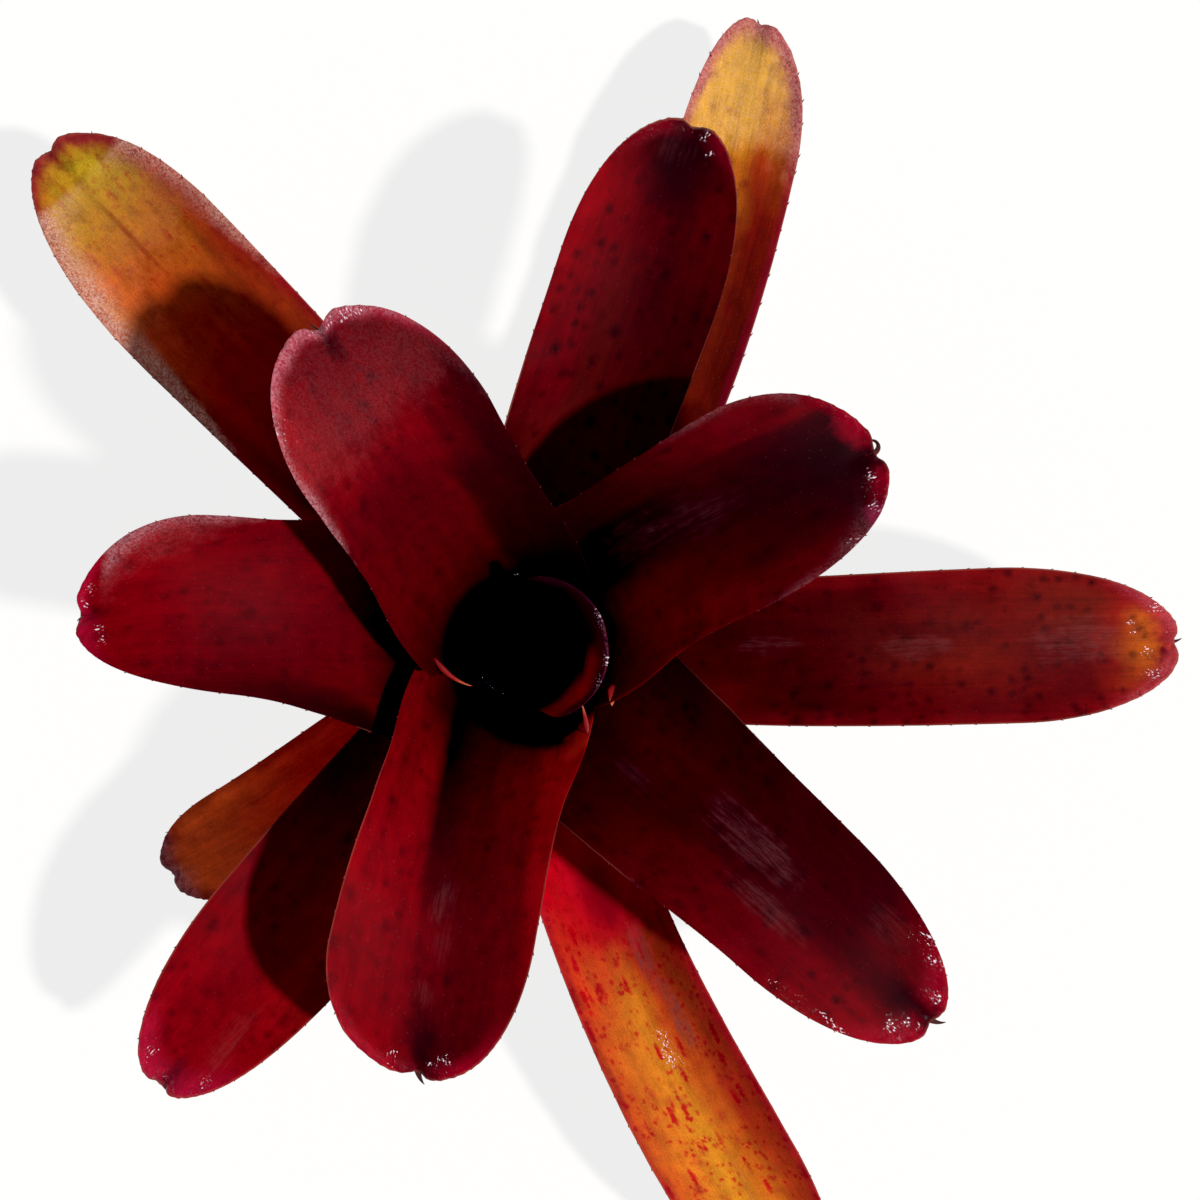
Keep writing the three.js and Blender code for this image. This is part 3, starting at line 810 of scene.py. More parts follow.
LOOKS = {
    "heart_leaf_2": HEART_LOOK,
    "heart_leaf_1": HEART_LOOK,
    "leaf_01": dict(
        # The two right bands' bright red, 0.7 to 0.88 along, is painted light: sun glowing through the leaf.
        bands=[(-0.9, [(0.6, 0, 0), (0.7, 0.5, 0.02), (0.85, 0.5, 0), (0.95, 0.1, 0)]),
               (-0.35, [(0.7, 0, 0), (0.82, 0.45, 0), (0.93, 0.12, 0)]),
               (0.0, [(0.75, 0, 0), (0.88, 0.03, 0), (1, 0.08, 0)]),
               (0.5, [(0.75, 0, 0), (1, 0.05, 0)])],
        blur=0.1, spots=0, rim=(0.04, 0.004, 0.012), rim_width=4.5, rim_from=0.75, pale_edge=0, painted_pit_shade=0,
        cup=(2, 4, 0), wet=[(0.99, 0.35, 0.05, 0.25, 1), (0.95, -0.6, 0.07, 0.22, 1)],
        glint_inset=-1,
        painted_glints=[(0.99, 0.28, 0.04, 0.25, 1), (0.985, -0.25, 0.035, 0.2, 1), (0.96, -0.55, 0.05, 0.2, 1),
                (0.5, 0.92, 0.02, 0.05, 0.4)]),
    "leaf_02": dict(
        bands=[(-0.9, [(0.3, 0, 0), (0.6, 0.02, 0), (0.84, 0.04, 0), (0.95, 0.15, 0.02)]),
               (-0.45, [(0.3, 0, 0), (0.42, 0.015, 0), (0.66, 0.03, 0), (0.84, 0.1, 0.01)]),
               (-0.15, [(0.3, 0.01, 0), (0.5, 0.08, 0), (0.68, 0.08, 0), (0.76, 0.13, 0)]),
               (0.3, [(0.3, 0.03, 0), (0.45, 0.07, 0), (0.68, 0.07, 0), (0.78, 0.13, 0)]),
               (0.9, [(0.3, 0.02, 0), (0.48, 0.08, 0), (0.66, 0.08, 0), (0.78, 0.17, 0), (0.9, 0.25, 0)])],
        rim=MAGENTA, bloom=0.02, bloom_rim=0.26, bloom_from=0.78, bloom_side=0.5, bloom_margin=0.35,
        bloom_width=4.5, pale_edge=0.1, dust=0.2, pit_width=3, painted_pit_shade=0.7,
        wet=[(0.985, -0.3, 0.02, 0.2, 1), (0.985, 0.02, 0.025, 0.06, 1), (0.93, 0.75, 0.06, 0.1, 0.6)],
        painted_glints=[(0.29, -0.3, 0.01, 0.05, 0.5), (0.28, -0.09, 0.01, 0.05, 0.5), (0.09, 0.07, 0.07, 0.2, 1),
                (0.14, -0.04, 0.04, 0.12, 1), (0.98, -0.32, 0.018, 0.25, 0.9), (0.988, -0.12, 0.014, 0.1, 1),
                (0.993, 0.06, 0.01, 0.06, 1), (0.93, 0.85, 0.08, 0.12, 0.7)]),
    "leaf_03": dict(
        # The dark middle bands, side -0.28 to 0.2 with a sharp edge on the right, are a painted shadow.
        bands=[(-0.9, [(0.3, 0.1, 0), (0.45, 0.14, 0), (0.72, 0.19, 0), (0.84, 0.145, 0), (1, 0.2, 0)]),
               (-0.42, [(0.32, 0.02, 0), (0.45, 0.15, 0), (0.7, 0.16, 0), (0.9, 0.12, 0), (1, 0.19, 0)]),
               (-0.28, [(0.4, 0.002, 0), (0.6, 0.03, 0), (0.68, 0.06, 0), (0.76, 0.13, 0), (0.9, 0.06, 0)]),
               (0.2, [(0.35, 0.03, 0), (0.5, 0.05, 0), (0.8, 0.065, 0), (0.95, 0.05, 0)]),
               (0.6, [(0.3, 0.02, 0), (0.42, 0.12, 0), (0.6, 0.1, 0), (0.84, 0.1, 0)]),
               (0.85, [(0.3, 0.15, 0.1), (0.4, 0.25, 0.02), (0.7, 0.24, 0), (0.84, 0.16, 0),
                       (0.92, 0.1, 0)])],
        blur=0.12, lean=-0.7, cup=(22, 25, 4.5), spots=0.55, dust=0.25, rim_width=3.5,
        pit_from=0.86, pit_side=0.1, pit_width=9, tints=[(0.355, 1.15, 0.05, 0.4, EMBER, 0.9)],
        wet=[(0.972, -0.25, 0.02, 0.06, 1), (0.965, 0.3, 0.025, 0.12, 1)],
        painted_glints=[(0.96, 0.28, 0.014, 0.12, 1), (0.972, 0.14, 0.01, 0.08, 1), (0.97, -0.24, 0.01, 0.08, 1)],
        sheen_patches=[(0.69, 0.02, 0.05, 0.14, 0.3), (0.77, 0.12, 0.04, 0.12, 0.14), (0.86, 0.0, 0.03, 0.14, 0.2)]),
    "leaf_04": dict(
        # The two right bands are painted lighter near the base, 0.3 to 0.62 along: painted light over a
        # shadow.
        bands=[(-0.9, [(0.3, 0.2, 0), (0.5, 0.3, 0), (0.62, 0.2, 0), (0.74, 0.09, 0), (0.9, 0.09, 0)]),
               (-0.4, [(0.3, 0.18, 0), (0.45, 0.17, 0), (0.6, 0.07, 0), (0.75, 0.03, 0), (0.88, 0.018, 0)]),
               (0.1, [(0.35, 0, 0), (0.5, 0.014, 0), (0.7, 0.022, 0), (0.9, 0.012, 0)]),
               (0.5, [(0.4, 0.002, 0), (0.6, 0.01, 0), (0.7, 0.035, 0), (0.95, 0.025, 0)]),
               (0.64, [(0.45, 0.02, 0), (0.6, 0.03, 0), (0.8, 0.075, 0), (0.95, 0.1, 0)]),
               (0.95, [(0.45, 0.025, 0), (0.6, 0.03, 0), (0.8, 0.08, 0), (0.95, 0.11, 0)])],
        blur=0.2, cup=(20, 30, 0), bloom_rim=0.07, bloom_from=0.84, bloom_margin=0.4, bloom_to=0.94,
        rim_from=0.9, rim_width=3.5, painted_pit_shade=0.95, pit_from=0.84, pit_width=7, dust=0.2, pale_edge=0.15,
        wet=[(0.962, -0.38, 0.022, 0.16, 1)],
        painted_glints=[(0.966, -0.2, 0.016, 0.1, 1), (0.95, -0.5, 0.02, 0.12, 1), (0.91, -0.74, 0.05, 0.08, 0.6)],
        tints=[(0.95, -0.62, 0.03, 0.2, (0.3, 0.03, 0.09), 0.5), (0.975, 0.3, 0.035, 0.24, CRIMSON, 0.6)],
        sheen_patches=[(0.64, 0.15, 0.12, 0.3, 0.22), (0.5, 0.25, 0.1, 0.25, 0.15)]),
    "leaf_05": dict(
        bands=[(-0.8, [(0.4, 0.02, 0), (0.66, 0.1, 0), (0.8, 0.15, 0), (0.9, 0.22, 0.01)]),
               (-0.3, [(0.4, 0.02, 0), (0.55, 0.1, 0), (0.75, 0.13, 0), (0.95, 0.18, 0)]),
               (0.3, [(0.36, 0.01, 0), (0.45, 0.09, 0), (0.7, 0.09, 0), (0.8, 0.13, 0), (1, 0.17, 0)]),
               (0.65, [(0.36, 0.01, 0), (0.45, 0.08, 0), (0.7, 0.085, 0), (0.9, 0.15, 0)]),
               (0.95, [(0.4, 0.004, 0), (0.6, 0.022, 0), (0.78, 0.06, 0), (0.88, 0.16, 0)])],
        cup=(24, 30, 0), bloom=0.03, bloom_rim=0.2, bloom_from=0.96, bloom_side=-2, bloom_width=8,
        bloom_to=0.965, dust=0.2, rim=MAGENTA, rim_from=0.9, painted_pit_shade=0.4, pit_width=3,
        wet=[(0.975, -0.25, 0.015, 0.1, 0.7), (0.99, -0.05, 0.015, 0.08, 1), (0.955, 0.27, 0.02, 0.12, 1)],
        painted_glints=[(0.987, -0.13, 0.012, 0.08, 1), (0.975, -0.26, 0.014, 0.1, 0.7),
                (0.955, 0.18, 0.014, 0.09, 1), (0.943, 0.3, 0.016, 0.09, 1)]),
    "leaf_06": dict(
        bands=[(-0.9, [(0.35, 0.04, 0), (0.55, 0.08, 0), (0.75, 0.12, 0), (0.9, 0.2, 0)]),
               (-0.5, [(0.3, 0.035, 0), (0.5, 0.065, 0), (0.7, 0.09, 0), (0.85, 0.125, 0)]),
               (-0.15, [(0.3, 0.04, 0), (0.5, 0.035, 0), (0.7, 0.04, 0), (0.95, 0.045, 0)]),
               (0.2, [(0.3, 0.07, 0), (0.42, 0.05, 0), (0.5, 0.035, 0), (0.8, 0.04, 0), (0.95, 0.09, 0)]),
               (0.8, [(0.35, 0.035, 0), (0.6, 0.03, 0), (0.8, 0.035, 0), (0.92, 0.12, 0)])],
        cup=(22, 26, 0), spots=0.7, bloom_rim=0.12, bloom_from=0.5, bloom_to=0.85, bloom_width=2.5,
        rim_width=6, painted_pit_shade=0.9, pit_from=0.84, pit_width=6,
        wet=[(0.915, 0.58, 0.05, 0.14, 1), (0.955, 0.2, 0.02, 0.12, 0.6), (0.955, -0.3, 0.03, 0.16, 1),
             (0.84, -0.85, 0.1, 0.1, 0.5)],
        painted_glints=[(0.895, 0.68, 0.03, 0.09, 1), (0.925, 0.52, 0.025, 0.09, 1), (0.968, 0.25, 0.016, 0.1, 1),
                (0.945, -0.36, 0.018, 0.14, 1), (0.962, -0.2, 0.014, 0.1, 1), (0.982, -0.15, 0.01, 0.07, 1),
                (0.87, -0.76, 0.06, 0.06, 0.8)],
        sheen_patches=[(0.57, 0.15, 0.12, 0.26, 0.45), (0.67, -0.3, 0.11, 0.16, 0.35),
                (0.34, -0.15, 0.05, 0.1, 0.3), (0.84, 0.5, 0.06, 0.2, 0.15)]),
    "leaf_07": dict(
        bands=[(-0.8, [(0.4, 0.05, 0.1), (0.55, 0.03, 0.04), (0.68, 0.035, 0), (0.84, 0.07, 0),
                       (1, 0.08, 0)]),
               (-0.2, [(0.4, 0.07, 0.12), (0.55, 0.05, 0.06), (0.68, 0.035, 0.02), (0.84, 0.045, 0),
                       (0.95, 0.015, 0)]),
               (0.2, [(0.4, 0.06, 0.1), (0.6, 0.06, 0.05), (0.84, 0.08, 0), (0.92, 0.03, 0)]),
               (0.55, [(0.4, 0.06, 0.1), (0.52, 0.09, 0), (0.85, 0.135, 0), (0.94, 0.06, 0)]),
               (0.9, [(0.4, 0.03, 0.1), (0.55, 0.1, 0), (0.72, 0.17, 0), (0.86, 0.21, 0), (0.95, 0.1, 0)])],
        spots=0.95, rim_from=0.88, rim_width=3, rim_strength=0.6, painted_pit_shade=0.85, pit_from=0.8, pit_width=11,
        pale_edge=0.5, wet=[(0.985, -0.17, 0.02, 0.08, 1), (0.95, -0.3, 0.02, 0.06, 0.8)],
        painted_glints=[(0.98, -0.17, 0.016, 0.08, 1), (0.955, -0.28, 0.012, 0.07, 0.8)],
        sheen_patches=[(0.95, 0.1, 0.04, 0.4, 0.12)]),
    "leaf_08": dict(
        bands=[(-0.8, [(0.4, 0.04, 0), (0.6, 0.13, 0), (0.8, 0.19, 0), (0.9, 0.19, 0)]),
               (-0.2, [(0.4, 0.1, 0), (0.6, 0.15, 0), (0.8, 0.14, 0), (0.95, 0.2, 0)]),
               (0.4, [(0.5, 0.3, 0.02), (0.6, 0.2, 0.02), (0.8, 0.19, 0.01), (0.95, 0.25, 0.01)]),
               (0.9, [(0.5, 0.2, 0.05), (0.7, 0.14, 0.05), (0.84, 0.33, 0), (0.95, 0.33, 0)])],
        spots=0.65, rim=MAGENTA, painted_pit_shade=0.5,
        wet=[(0.945, -0.38, 0.03, 0.1, 1), (0.98, 0, 0.02, 0.2, 0.8), (0.935, 0.39, 0.03, 0.1, 0.8)],
        painted_glints=[(0.944, -0.34, 0.018, 0.1, 1), (0.98, -0.01, 0.01, 0.08, 1), (0.926, 0.44, 0.02, 0.1, 1)],
        sheen_patches=[(0.85, 0.35, 0.08, 0.2, 0.3)]),
    "leaf_09": dict(
        bands=[(-0.8, [(0.3, 0.1, 0), (0.42, 0.035, 0), (0.6, 0.1, 0.03), (0.84, 0.08, 0.03),
                       (0.9, 0.24, 0.08), (0.97, 0.4, 0.25)]),
               (-0.2, [(0.3, 0.05, 0), (0.42, 0.045, 0.04), (0.66, 0.12, 0.08), (0.82, 0.07, 0.02),
                       (0.88, 0.14, 0.05), (0.94, 0.42, 0.4)]),
               (0.3, [(0.3, 0.03, 0), (0.5, 0.06, 0.07), (0.72, 0.11, 0.05), (0.86, 0.1, 0.1),
                      (0.9, 0.18, 0.06), (0.95, 0.42, 0.38)]),
               (0.8, [(0.36, 0.06, 0.05), (0.5, 0.05, 0.03), (0.66, 0.12, 0.03), (0.86, 0.13, 0.1),
                      (0.92, 0.2, 0.04), (0.97, 0.4, 0.25)])],
        margin=0.6, margin_width=5, rim=(0.3, 0.004, 0.018), rim_width=3.2, spots=0.95, lines=0.3,
        painted_pit_shade=0.3, pit_from=0.93, pit_width=1.6, bloom_rim=0.07, bloom_from=0.86, bloom_width=2.5,
        wet=[(0.925, 0.23, 0.012, 0.05, 1), (0.935, 0.05, 0.012, 0.05, 1), (0.948, -0.16, 0.016, 0.08, 1),
             (0.96, 0.5, 0.02, 0.1, 0.8), (0.95, -0.5, 0.02, 0.1, 0.8)],
        painted_glints=[(0.914, 0.27, 0.01, 0.07, 1), (0.92, 0.14, 0.01, 0.07, 1), (0.944, -0.12, 0.016, 0.12, 1),
                (0.95, -0.4, 0.022, 0.12, 0.9), (0.955, 0.45, 0.02, 0.12, 0.6)],
        sheen_patches=[(0.36, 0.1, 0.06, 0.15, 0.3), (0.58, 0.0, 0.06, 0.2, 0.3), (0.83, 0.0, 0.09, 0.4, 0.35)]),
    "leaf_10": dict(
        bands=[(-0.85, [(0.4, 0.07, 0), (0.55, 0.2, 0.2), (0.66, 0.22, 0.15), (0.88, 0.27, 0.25),
                        (0.95, 0.48, 0.9)]),
               (-0.4, [(0.35, 0.08, 0), (0.5, 0.28, 0.06), (0.68, 0.28, 0.3), (0.84, 0.38, 0.55),
                       (0.93, 0.5, 1.4)]),
               (0.1, [(0.35, 0.08, 0), (0.5, 0.3, 0.06), (0.66, 0.34, 0.15), (0.78, 0.4, 0.45),
                      (0.88, 0.44, 0.9), (0.95, 0.52, 1.3)]),
               (0.6, [(0.35, 0.08, 0), (0.5, 0.35, 0.06), (0.68, 0.5, 0.2), (0.78, 0.5, 0.45),
                      (0.9, 0.52, 1), (0.97, 0.4, 0.8)]),
               (0.9, [(0.35, 0.06, 0.05), (0.5, 0.22, 0.08), (0.68, 0.48, 0.3), (0.78, 0.5, 0.7),
                      (0.9, 0.46, 0.7), (1, 0.3, 0.3)])],
        margin=0.7, margin_color=CRIMSON, margin_width=5, rim=(0.24, 0.004, 0.02), rim_width=2.2,
        spots=0.45, spot_color=BLOOD, dots=0.4, lines=0.12, dust=0.2, painted_pit_shade=0.3, pit_width=2,
        bloom=0.04, bloom_rim=0.42, bloom_color=SILVER_SCALES_AND_SHEEN, bloom_from=0.72, bloom_side=0.7, bloom_margin=0.6,
        bloom_width=9, bloom_to=0.93,
        tints=[(0.8, 0.0, 0.1, 0.05, BLOOD, 0.5)],
        wet=[(0.93, -0.15, 0.03, 0.15, 0.5), (0.96, -0.4, 0.03, 0.1, 0.5), (0.78, 0.6, 0.06, 0.2, 0.4)]),
    "leaf_11": dict(
        bands=[(-0.9, [(0.3, 0.4, 0), (0.4, 0.46, 0.1), (0.6, 0.48, 0.26), (0.8, 0.52, 0.32)]),
               (-0.5, [(0.25, 0.42, 0), (0.36, 0.44, 0.02), (0.42, 0.46, 0.2), (0.55, 0.5, 0.42),
                       (0.8, 0.54, 0.55)]),
               (-0.1, [(0.25, 0.3, 0), (0.38, 0.36, 0.02), (0.46, 0.52, 0.55), (0.7, 0.54, 0.7),
                       (1, 0.5, 0.72)]),
               (0.3, [(0.25, 0.15, 0), (0.38, 0.3, 0.03), (0.46, 0.36, 0.15), (0.6, 0.42, 0.3),
                      (0.8, 0.46, 0.45)]),
               (0.65, [(0.3, 0.15, 0.05), (0.48, 0.18, 0.2), (0.66, 0.28, 0.14), (0.8, 0.3, 0.2)]),
               (0.95, [(0.3, 0.24, 0.03), (0.5, 0.18, 0.1), (0.8, 0.2, 0.15)])],
        margin=0.6, margin_color=CRIMSON, margin_width=3, rim=(0.26, 0.004, 0.012), spots=0.6,
        spot_color=CHERRY, dots=1, lines=0.15, wet=[(0.56, 0.05, 0.03, 0.15, 1)], shine=0.2,
        # The second tint, dark crimson near the base, is a painted shadow.
        tints=[(0.27, 0.3, 0.14, 1.1, (0.45, 0.002, 0.012), 0.7),
               (0.31, 0.05, 0.07, 0.4, (0.15, 0.001, 0.004), 0.8)],
        painted_glints=[(0.536, 0.05, 0.024, 0.15, 1), (0.562, 0.0, 0.028, 0.14, 1)],
        sheen_patches=[(0.42, 0.32, 0.08, 0.16, 0.7), (0.51, 0.42, 0.07, 0.16, 0.8), (0.78, 0.1, 0.08, 0.08, 0.4)]),
    "leaf_12": dict(
        bands=[(-0.9, [(0.3, 0.08, 0.12), (0.5, 0.07, 0.12), (0.7, 0.18, 0.1), (0.82, 0.38, 0.4),
                       (0.93, 0.5, 0.8)]),
               (-0.5, [(0.3, 0.1, 0.12), (0.55, 0.09, 0.12), (0.7, 0.14, 0.08), (0.76, 0.3, 0.2),
                       (0.82, 0.52, 0.75), (0.88, 0.6, 0.95)]),
               (-0.1, [(0.5, 0.12, 0.15), (0.66, 0.22, 0.25), (0.74, 0.42, 0.5), (0.82, 0.6, 0.95),
                       (1, 0.54, 1)]),
               (0.6, [(0.5, 0.2, 0.2), (0.68, 0.42, 0.5), (0.76, 0.58, 0.9), (0.9, 0.6, 1),
                      (1, 0.5, 0.9)])],
        margin=0.7, margin_color=(0.2, 0.004, 0.016), margin_width=3,
        rim=(0.34, 0.02, 0.045), rim_width=3.5, rim_from=0.72, rim_strength=1,
        spots=0.5, spot_color=BLOOD, lines=0.45, dust=0.3, painted_pit_shade=0.3,
        bloom=0.16, bloom_rim=0.12, bloom_color=SILVER_SCALES_AND_SHEEN, bloom_from=0.74, bloom_width=6),
    "leaf_13": dict(
        bands=[(-0.8, [(0.3, 0.55, 0.06), (0.5, 0.65, 0.1), (0.7, 0.75, 0.22), (0.85, 0.75, 0.25),
                       (0.95, 0.45, 0.1)]),
               (-0.3, [(0.3, 0.6, 0.06), (0.5, 0.65, 0.08), (0.75, 0.56, 0.2), (0.95, 0.62, 0.25)])],
        margin=0.4, rim=BLOOD, rim_width=2.5, spots=0.2, spot_color=CHERRY, dots=0.2, lines=0.3, painted_pit_shade=0.2,
        bloom=0.08, bloom_rim=0.12, bloom_from=0.9, bloom_width=8),
}


print("looks:", len(LOOKS), "with", sum(len(look["bands"]) for look in LOOKS.values()), "bands")


# %% The coordinates and noises that all layers of a leaf share
class LeafFinish(Finish):
    """A finish that reads the coordinates kept on a leaf's mesh.

    Blotch, mottle, lines, fine and grain are noises from -0.5 to 0.5, from a few centimetres across down to
    half a millimetre. Each layer adds them to its own edges, so no edge is ever a clean line.
    """

    def __init__(self, name):
        super().__init__(bpy.data.materials.new(name))
        for key in ("along", "side", "edge", "run", "across", "under", "reach"):
            setattr(self, key, self.attribute(key))
        # Near the margin of the free blade the lower face keeps the colours of the upper one.
        free = self.step(self.along, 0.45, 0.55)
        self.under = self.under * (1 - self.step(self.edge, 2.0, 0.8) * free)
        self.upper = 1 - self.under
        self.seed = 13.0 * len(bpy.data.materials)
        self.blotch = self.noise(self.place(22, 15)) - 0.5
        self.mottle = self.noise(self.place(5, 3.6), detail=3, rough=0.6) - 0.5
        self.lines = self.noise(self.place(45, 1.1), detail=3, rough=0.6) - 0.5
        self.fine = self.noise(self.place(12, 0.35), detail=1) - 0.5
        self.grain = self.noise(self.place(0.5, 0.4), detail=1) - 0.5

    def place(self, long, wide):
        """The leaf's own coordinates in units of long by wide millimetres."""
        return self.vector(self.run / long + self.seed, self.across / wide)

    def chosen(self, chance, share):
        """1 in a random share of the cells whose random numbers are given."""
        return self.step(chance, share + 0.05, share - 0.05)

    def oval(self, along, side, half_long, half_wide):
        """1 in the middle of an oval patch, 0 on its outline and below 0 outside."""
        first = (self.along - along) / half_long
        second = (self.side - side) / half_wide
        return 1 - (first * first + second * second)


# %% The pigment in the skin
# A size of spots has its cells' length and width in millimetres, the spot's radius in cells, the share of
# cells that have one, and its strength.
SPOT_SIZES = ((8.5, 7, 0.36, 0.75, 0.85), (4.2, 3.6, 0.5, 0.55, 0.7), (1.9, 1.7, 0.36, 0.2, 0.45))


def leaf_bands(f, look):
    """The bands' ramps, each blended into the next over the gap between their sides."""
    place = f.along + f.blotch * 0.1
    over = f.side + (f.along - 0.5) * look["lean"] + f.blotch * look["blur"]
    color = None
    for at, stops in look["bands"]:
        band = f.ramp(place, [(u, pigment(*tone)) for u, *tone in stops])
        color = f.mix(f.step(over, before, at), color, band) if color else band
        before = at
    return color


def leaf_spots(f):
    """Fuzzy spots of three sizes, each in some of the cells of its own grid of random points."""
    wobble = f.noise(f.place(1.3, 1.1), detail=3) - 0.5
    spots = 0.0
    for long, wide, size, share, strength in SPOT_SIZES:
        distance, chance = f.cells(f.place(long, wide))
        spot = f.step(distance + wobble * 0.3, size, 0.0)
        spots = spots + spot * f.chosen(chance, share) * strength
    return spots


def leaf_dots(f):
    """Small dots and short dashes of red pigment, thicker in clouds."""
    clouds = f.step(f.noise(f.place(16, 9)), 0.36, 0.54)
    wobble = (f.noise(f.place(1.2, 0.8)) - 0.5) * 0.7
    dots = f.step(f.cells(f.place(2.4, 1.8))[0] + wobble, 0.46, 0.14)
    distance, chance = f.cells(f.place(9, 2.2))
    dashes = f.step(distance + wobble * 0.8, 0.48, 0.14) * f.chosen(chance, 0.36)
    return dots * clouds * 0.85 + dashes


def leaf_rim(f, look):
    """The margin of the leaf's end, where the colour is richest."""
    near_end = f.step(f.along, look["rim_from"], look["rim_from"] + 0.12)
    return f.step(f.edge + f.blotch * 3 + f.mottle * 2, look["rim_width"], 0.4) * near_end


def leaf_pigment(f, look, rim):
    """Bands, border, spots, dots and rim, in this order, times a random variation of lines and grain."""
    color = leaf_bands(f, look)
    wide = look["margin_width"]
    border = f.step(f.edge + f.blotch * wide + f.mottle * 2, wide, 0.3)
    color = f.mix(border * look["margin"], color, look["margin_color"])
    if look["spots"]:
        color = f.mix(leaf_spots(f) * look["spots"], color, look["spot_color"])
    if look["dots"]:
        color = f.mix(leaf_dots(f) * look["dots"], color, DOT_TINT, "MULTIPLY")
    color = f.mix(rim * look["rim_strength"], color, look["rim"])
    stripe = f.noise(f.place(70, 5), detail=1) - 0.5
    variation = 1 + f.lines * look["lines"] * 1.6 + f.fine * 0.3 + f.grain * 0.8 + f.mottle * 0.9 + stripe * 0.6
    return f.mix(1.0, color, f.vector(variation, variation, variation), "MULTIPLY")


# %% What lies on the skin, and the painted shade, sheen and glints
def leaf_painted_pit_shade(f, look):
    """Painted shade in the hollow behind the thorn, where the spoon's rim is pinched."""
    near = f.step(f.along, look["pit_from"], look["pit_from"] + 0.09)
    off = abs(f.across - look["pit_side"] * 10)
    return near * f.step(off + f.mottle * 5, look["pit_width"], 0.2) * look["painted_pit_shade"]


def leaf_bloom(f, look):
    """Zone of the end and of one margin, times a faint dust all over it and a thicker one at the margin.
    In silver it also stands for a painted sheen.
    """
    start = look["bloom_from"]
    slant = f.side * look["bloom_side"]
    at_margin = f.step(f.edge + f.blotch * 5, 8, 0.5) * look["bloom_margin"]
    zone = f.along + slant * 0.12 + at_margin * 0.3 + f.blotch * 0.2 + f.mottle * 0.12
    zone = f.step(zone, start, start + 0.08) * f.step(f.along, look["bloom_to"], look["bloom_to"] - 0.02)
    thick = f.step(f.edge + f.blotch * 6 - slant * 3, look["bloom_width"], 0.3)
    speck = f.cells(f.place(0.42, 0.38))[1]
    return zone * (thick * thick * look["bloom_rim"] + look["bloom"]) * (0.25 + speck * 1.5)


def leaf_sheen_patches(f, look):
    """Painted sheen: hazy ovals of light off wax, combed into streaks."""
    combed = f.noise(f.place(4, 0.55), detail=3, rough=0.7) + f.lines * 0.5
    combed = 0.25 + f.step(combed, 0.42, 0.62) * 0.75
    frayed = f.blotch * 2 + f.mottle * 2 + f.lines * 1.5
    hazes = (f.step(f.oval(*oval) + frayed, 0, 1.1) * strength for *oval, strength in look["sheen_patches"])
    return combed * sum(hazes)


def leaf_dust(f):
    """Single pale scales, a quarter of a millimetre wide."""
    distance, chance = f.cells(f.place(1.1, 0.95))
    return f.step(distance, 0.3, 0.05) * f.chosen(chance, 0.22) * 0.12


def leaf_painted_glints(f, look, color):
    """Painted highlights of sun on wet spots: an oval lets only the peaks of a fine noise through."""
    sparkle = f.noise(f.place(0.85, 0.5), detail=2) * 4
    inside = f.step(f.edge, look["glint_inset"], look["glint_inset"] + 0.45) * f.upper
    for *oval, strength in look["painted_glints"]:
        drops_and_painted_glints = f.step(f.oval(*oval) + sparkle, 3.05, 3.6)
        color = f.mix(drops_and_painted_glints * inside * strength, color, PAINTED_GLINT)
    return color


def leaf_cover_and_painted_light(f, look, color):
    """Painted pit shade, bloom, painted sheen, dust, the margin's pale line, the cup's painted shade, tints
    and painted glints, in this order.
    """
    bloom = 0.0
    if look["bloom"] or look["bloom_rim"]:
        bloom = leaf_bloom(f, look) * f.upper
    # Painted shade in the hollow behind the thorn, which also dims the bloom there.
    if look["painted_pit_shade"]:
        painted_pit_shade = leaf_painted_pit_shade(f, look)
        color = f.mix(painted_pit_shade, color, SPOT_DARK_AND_PAINTED_SHADE)
        bloom = bloom * (1 - painted_pit_shade * 0.7)
    color = f.mix(bloom, color, look["bloom_color"])
    if look["sheen_patches"]:
        color = f.mix(leaf_sheen_patches(f, look) * f.upper, color, PAINTED_SHEEN)
    color = f.mix(leaf_dust(f) * look["dust"] * f.upper, color, BLOOM)
    pale = f.step(f.edge, 0.5, 0.1) * f.step(f.reach, 30, 50) * look["pale_edge"]
    color = f.mix(pale, color, PALE_EDGE)
    # Painted shade: towards the stem the inside of the cup goes black.
    cup_shade_full, cup_shade_gone, tilt = look["cup"]
    reach = f.reach - f.side * tilt + f.blotch * 1.5
    color = f.mix(f.step(reach, cup_shade_gone, cup_shade_full), color, CUP_PAINTED_SHADE)
    for *oval, tint, strength in look["tints"]:
        color = f.mix(f.step(f.oval(*oval) + f.mottle * 1.5, 0, 1.1) * strength * f.upper, color, tint)
    return leaf_painted_glints(f, look, color) if look["painted_glints"] else color


# %% The lower face
SCALES = (0.30, 0.24, 0.20)
SHEATH_DARK, SHEATH_PALE = (0.17, 0.12, 0.05), (0.42, 0.36, 0.2)
PAPER = (0.16, 0.075, 0.035)
FOOT = (0.12, 0.06, 0.03)


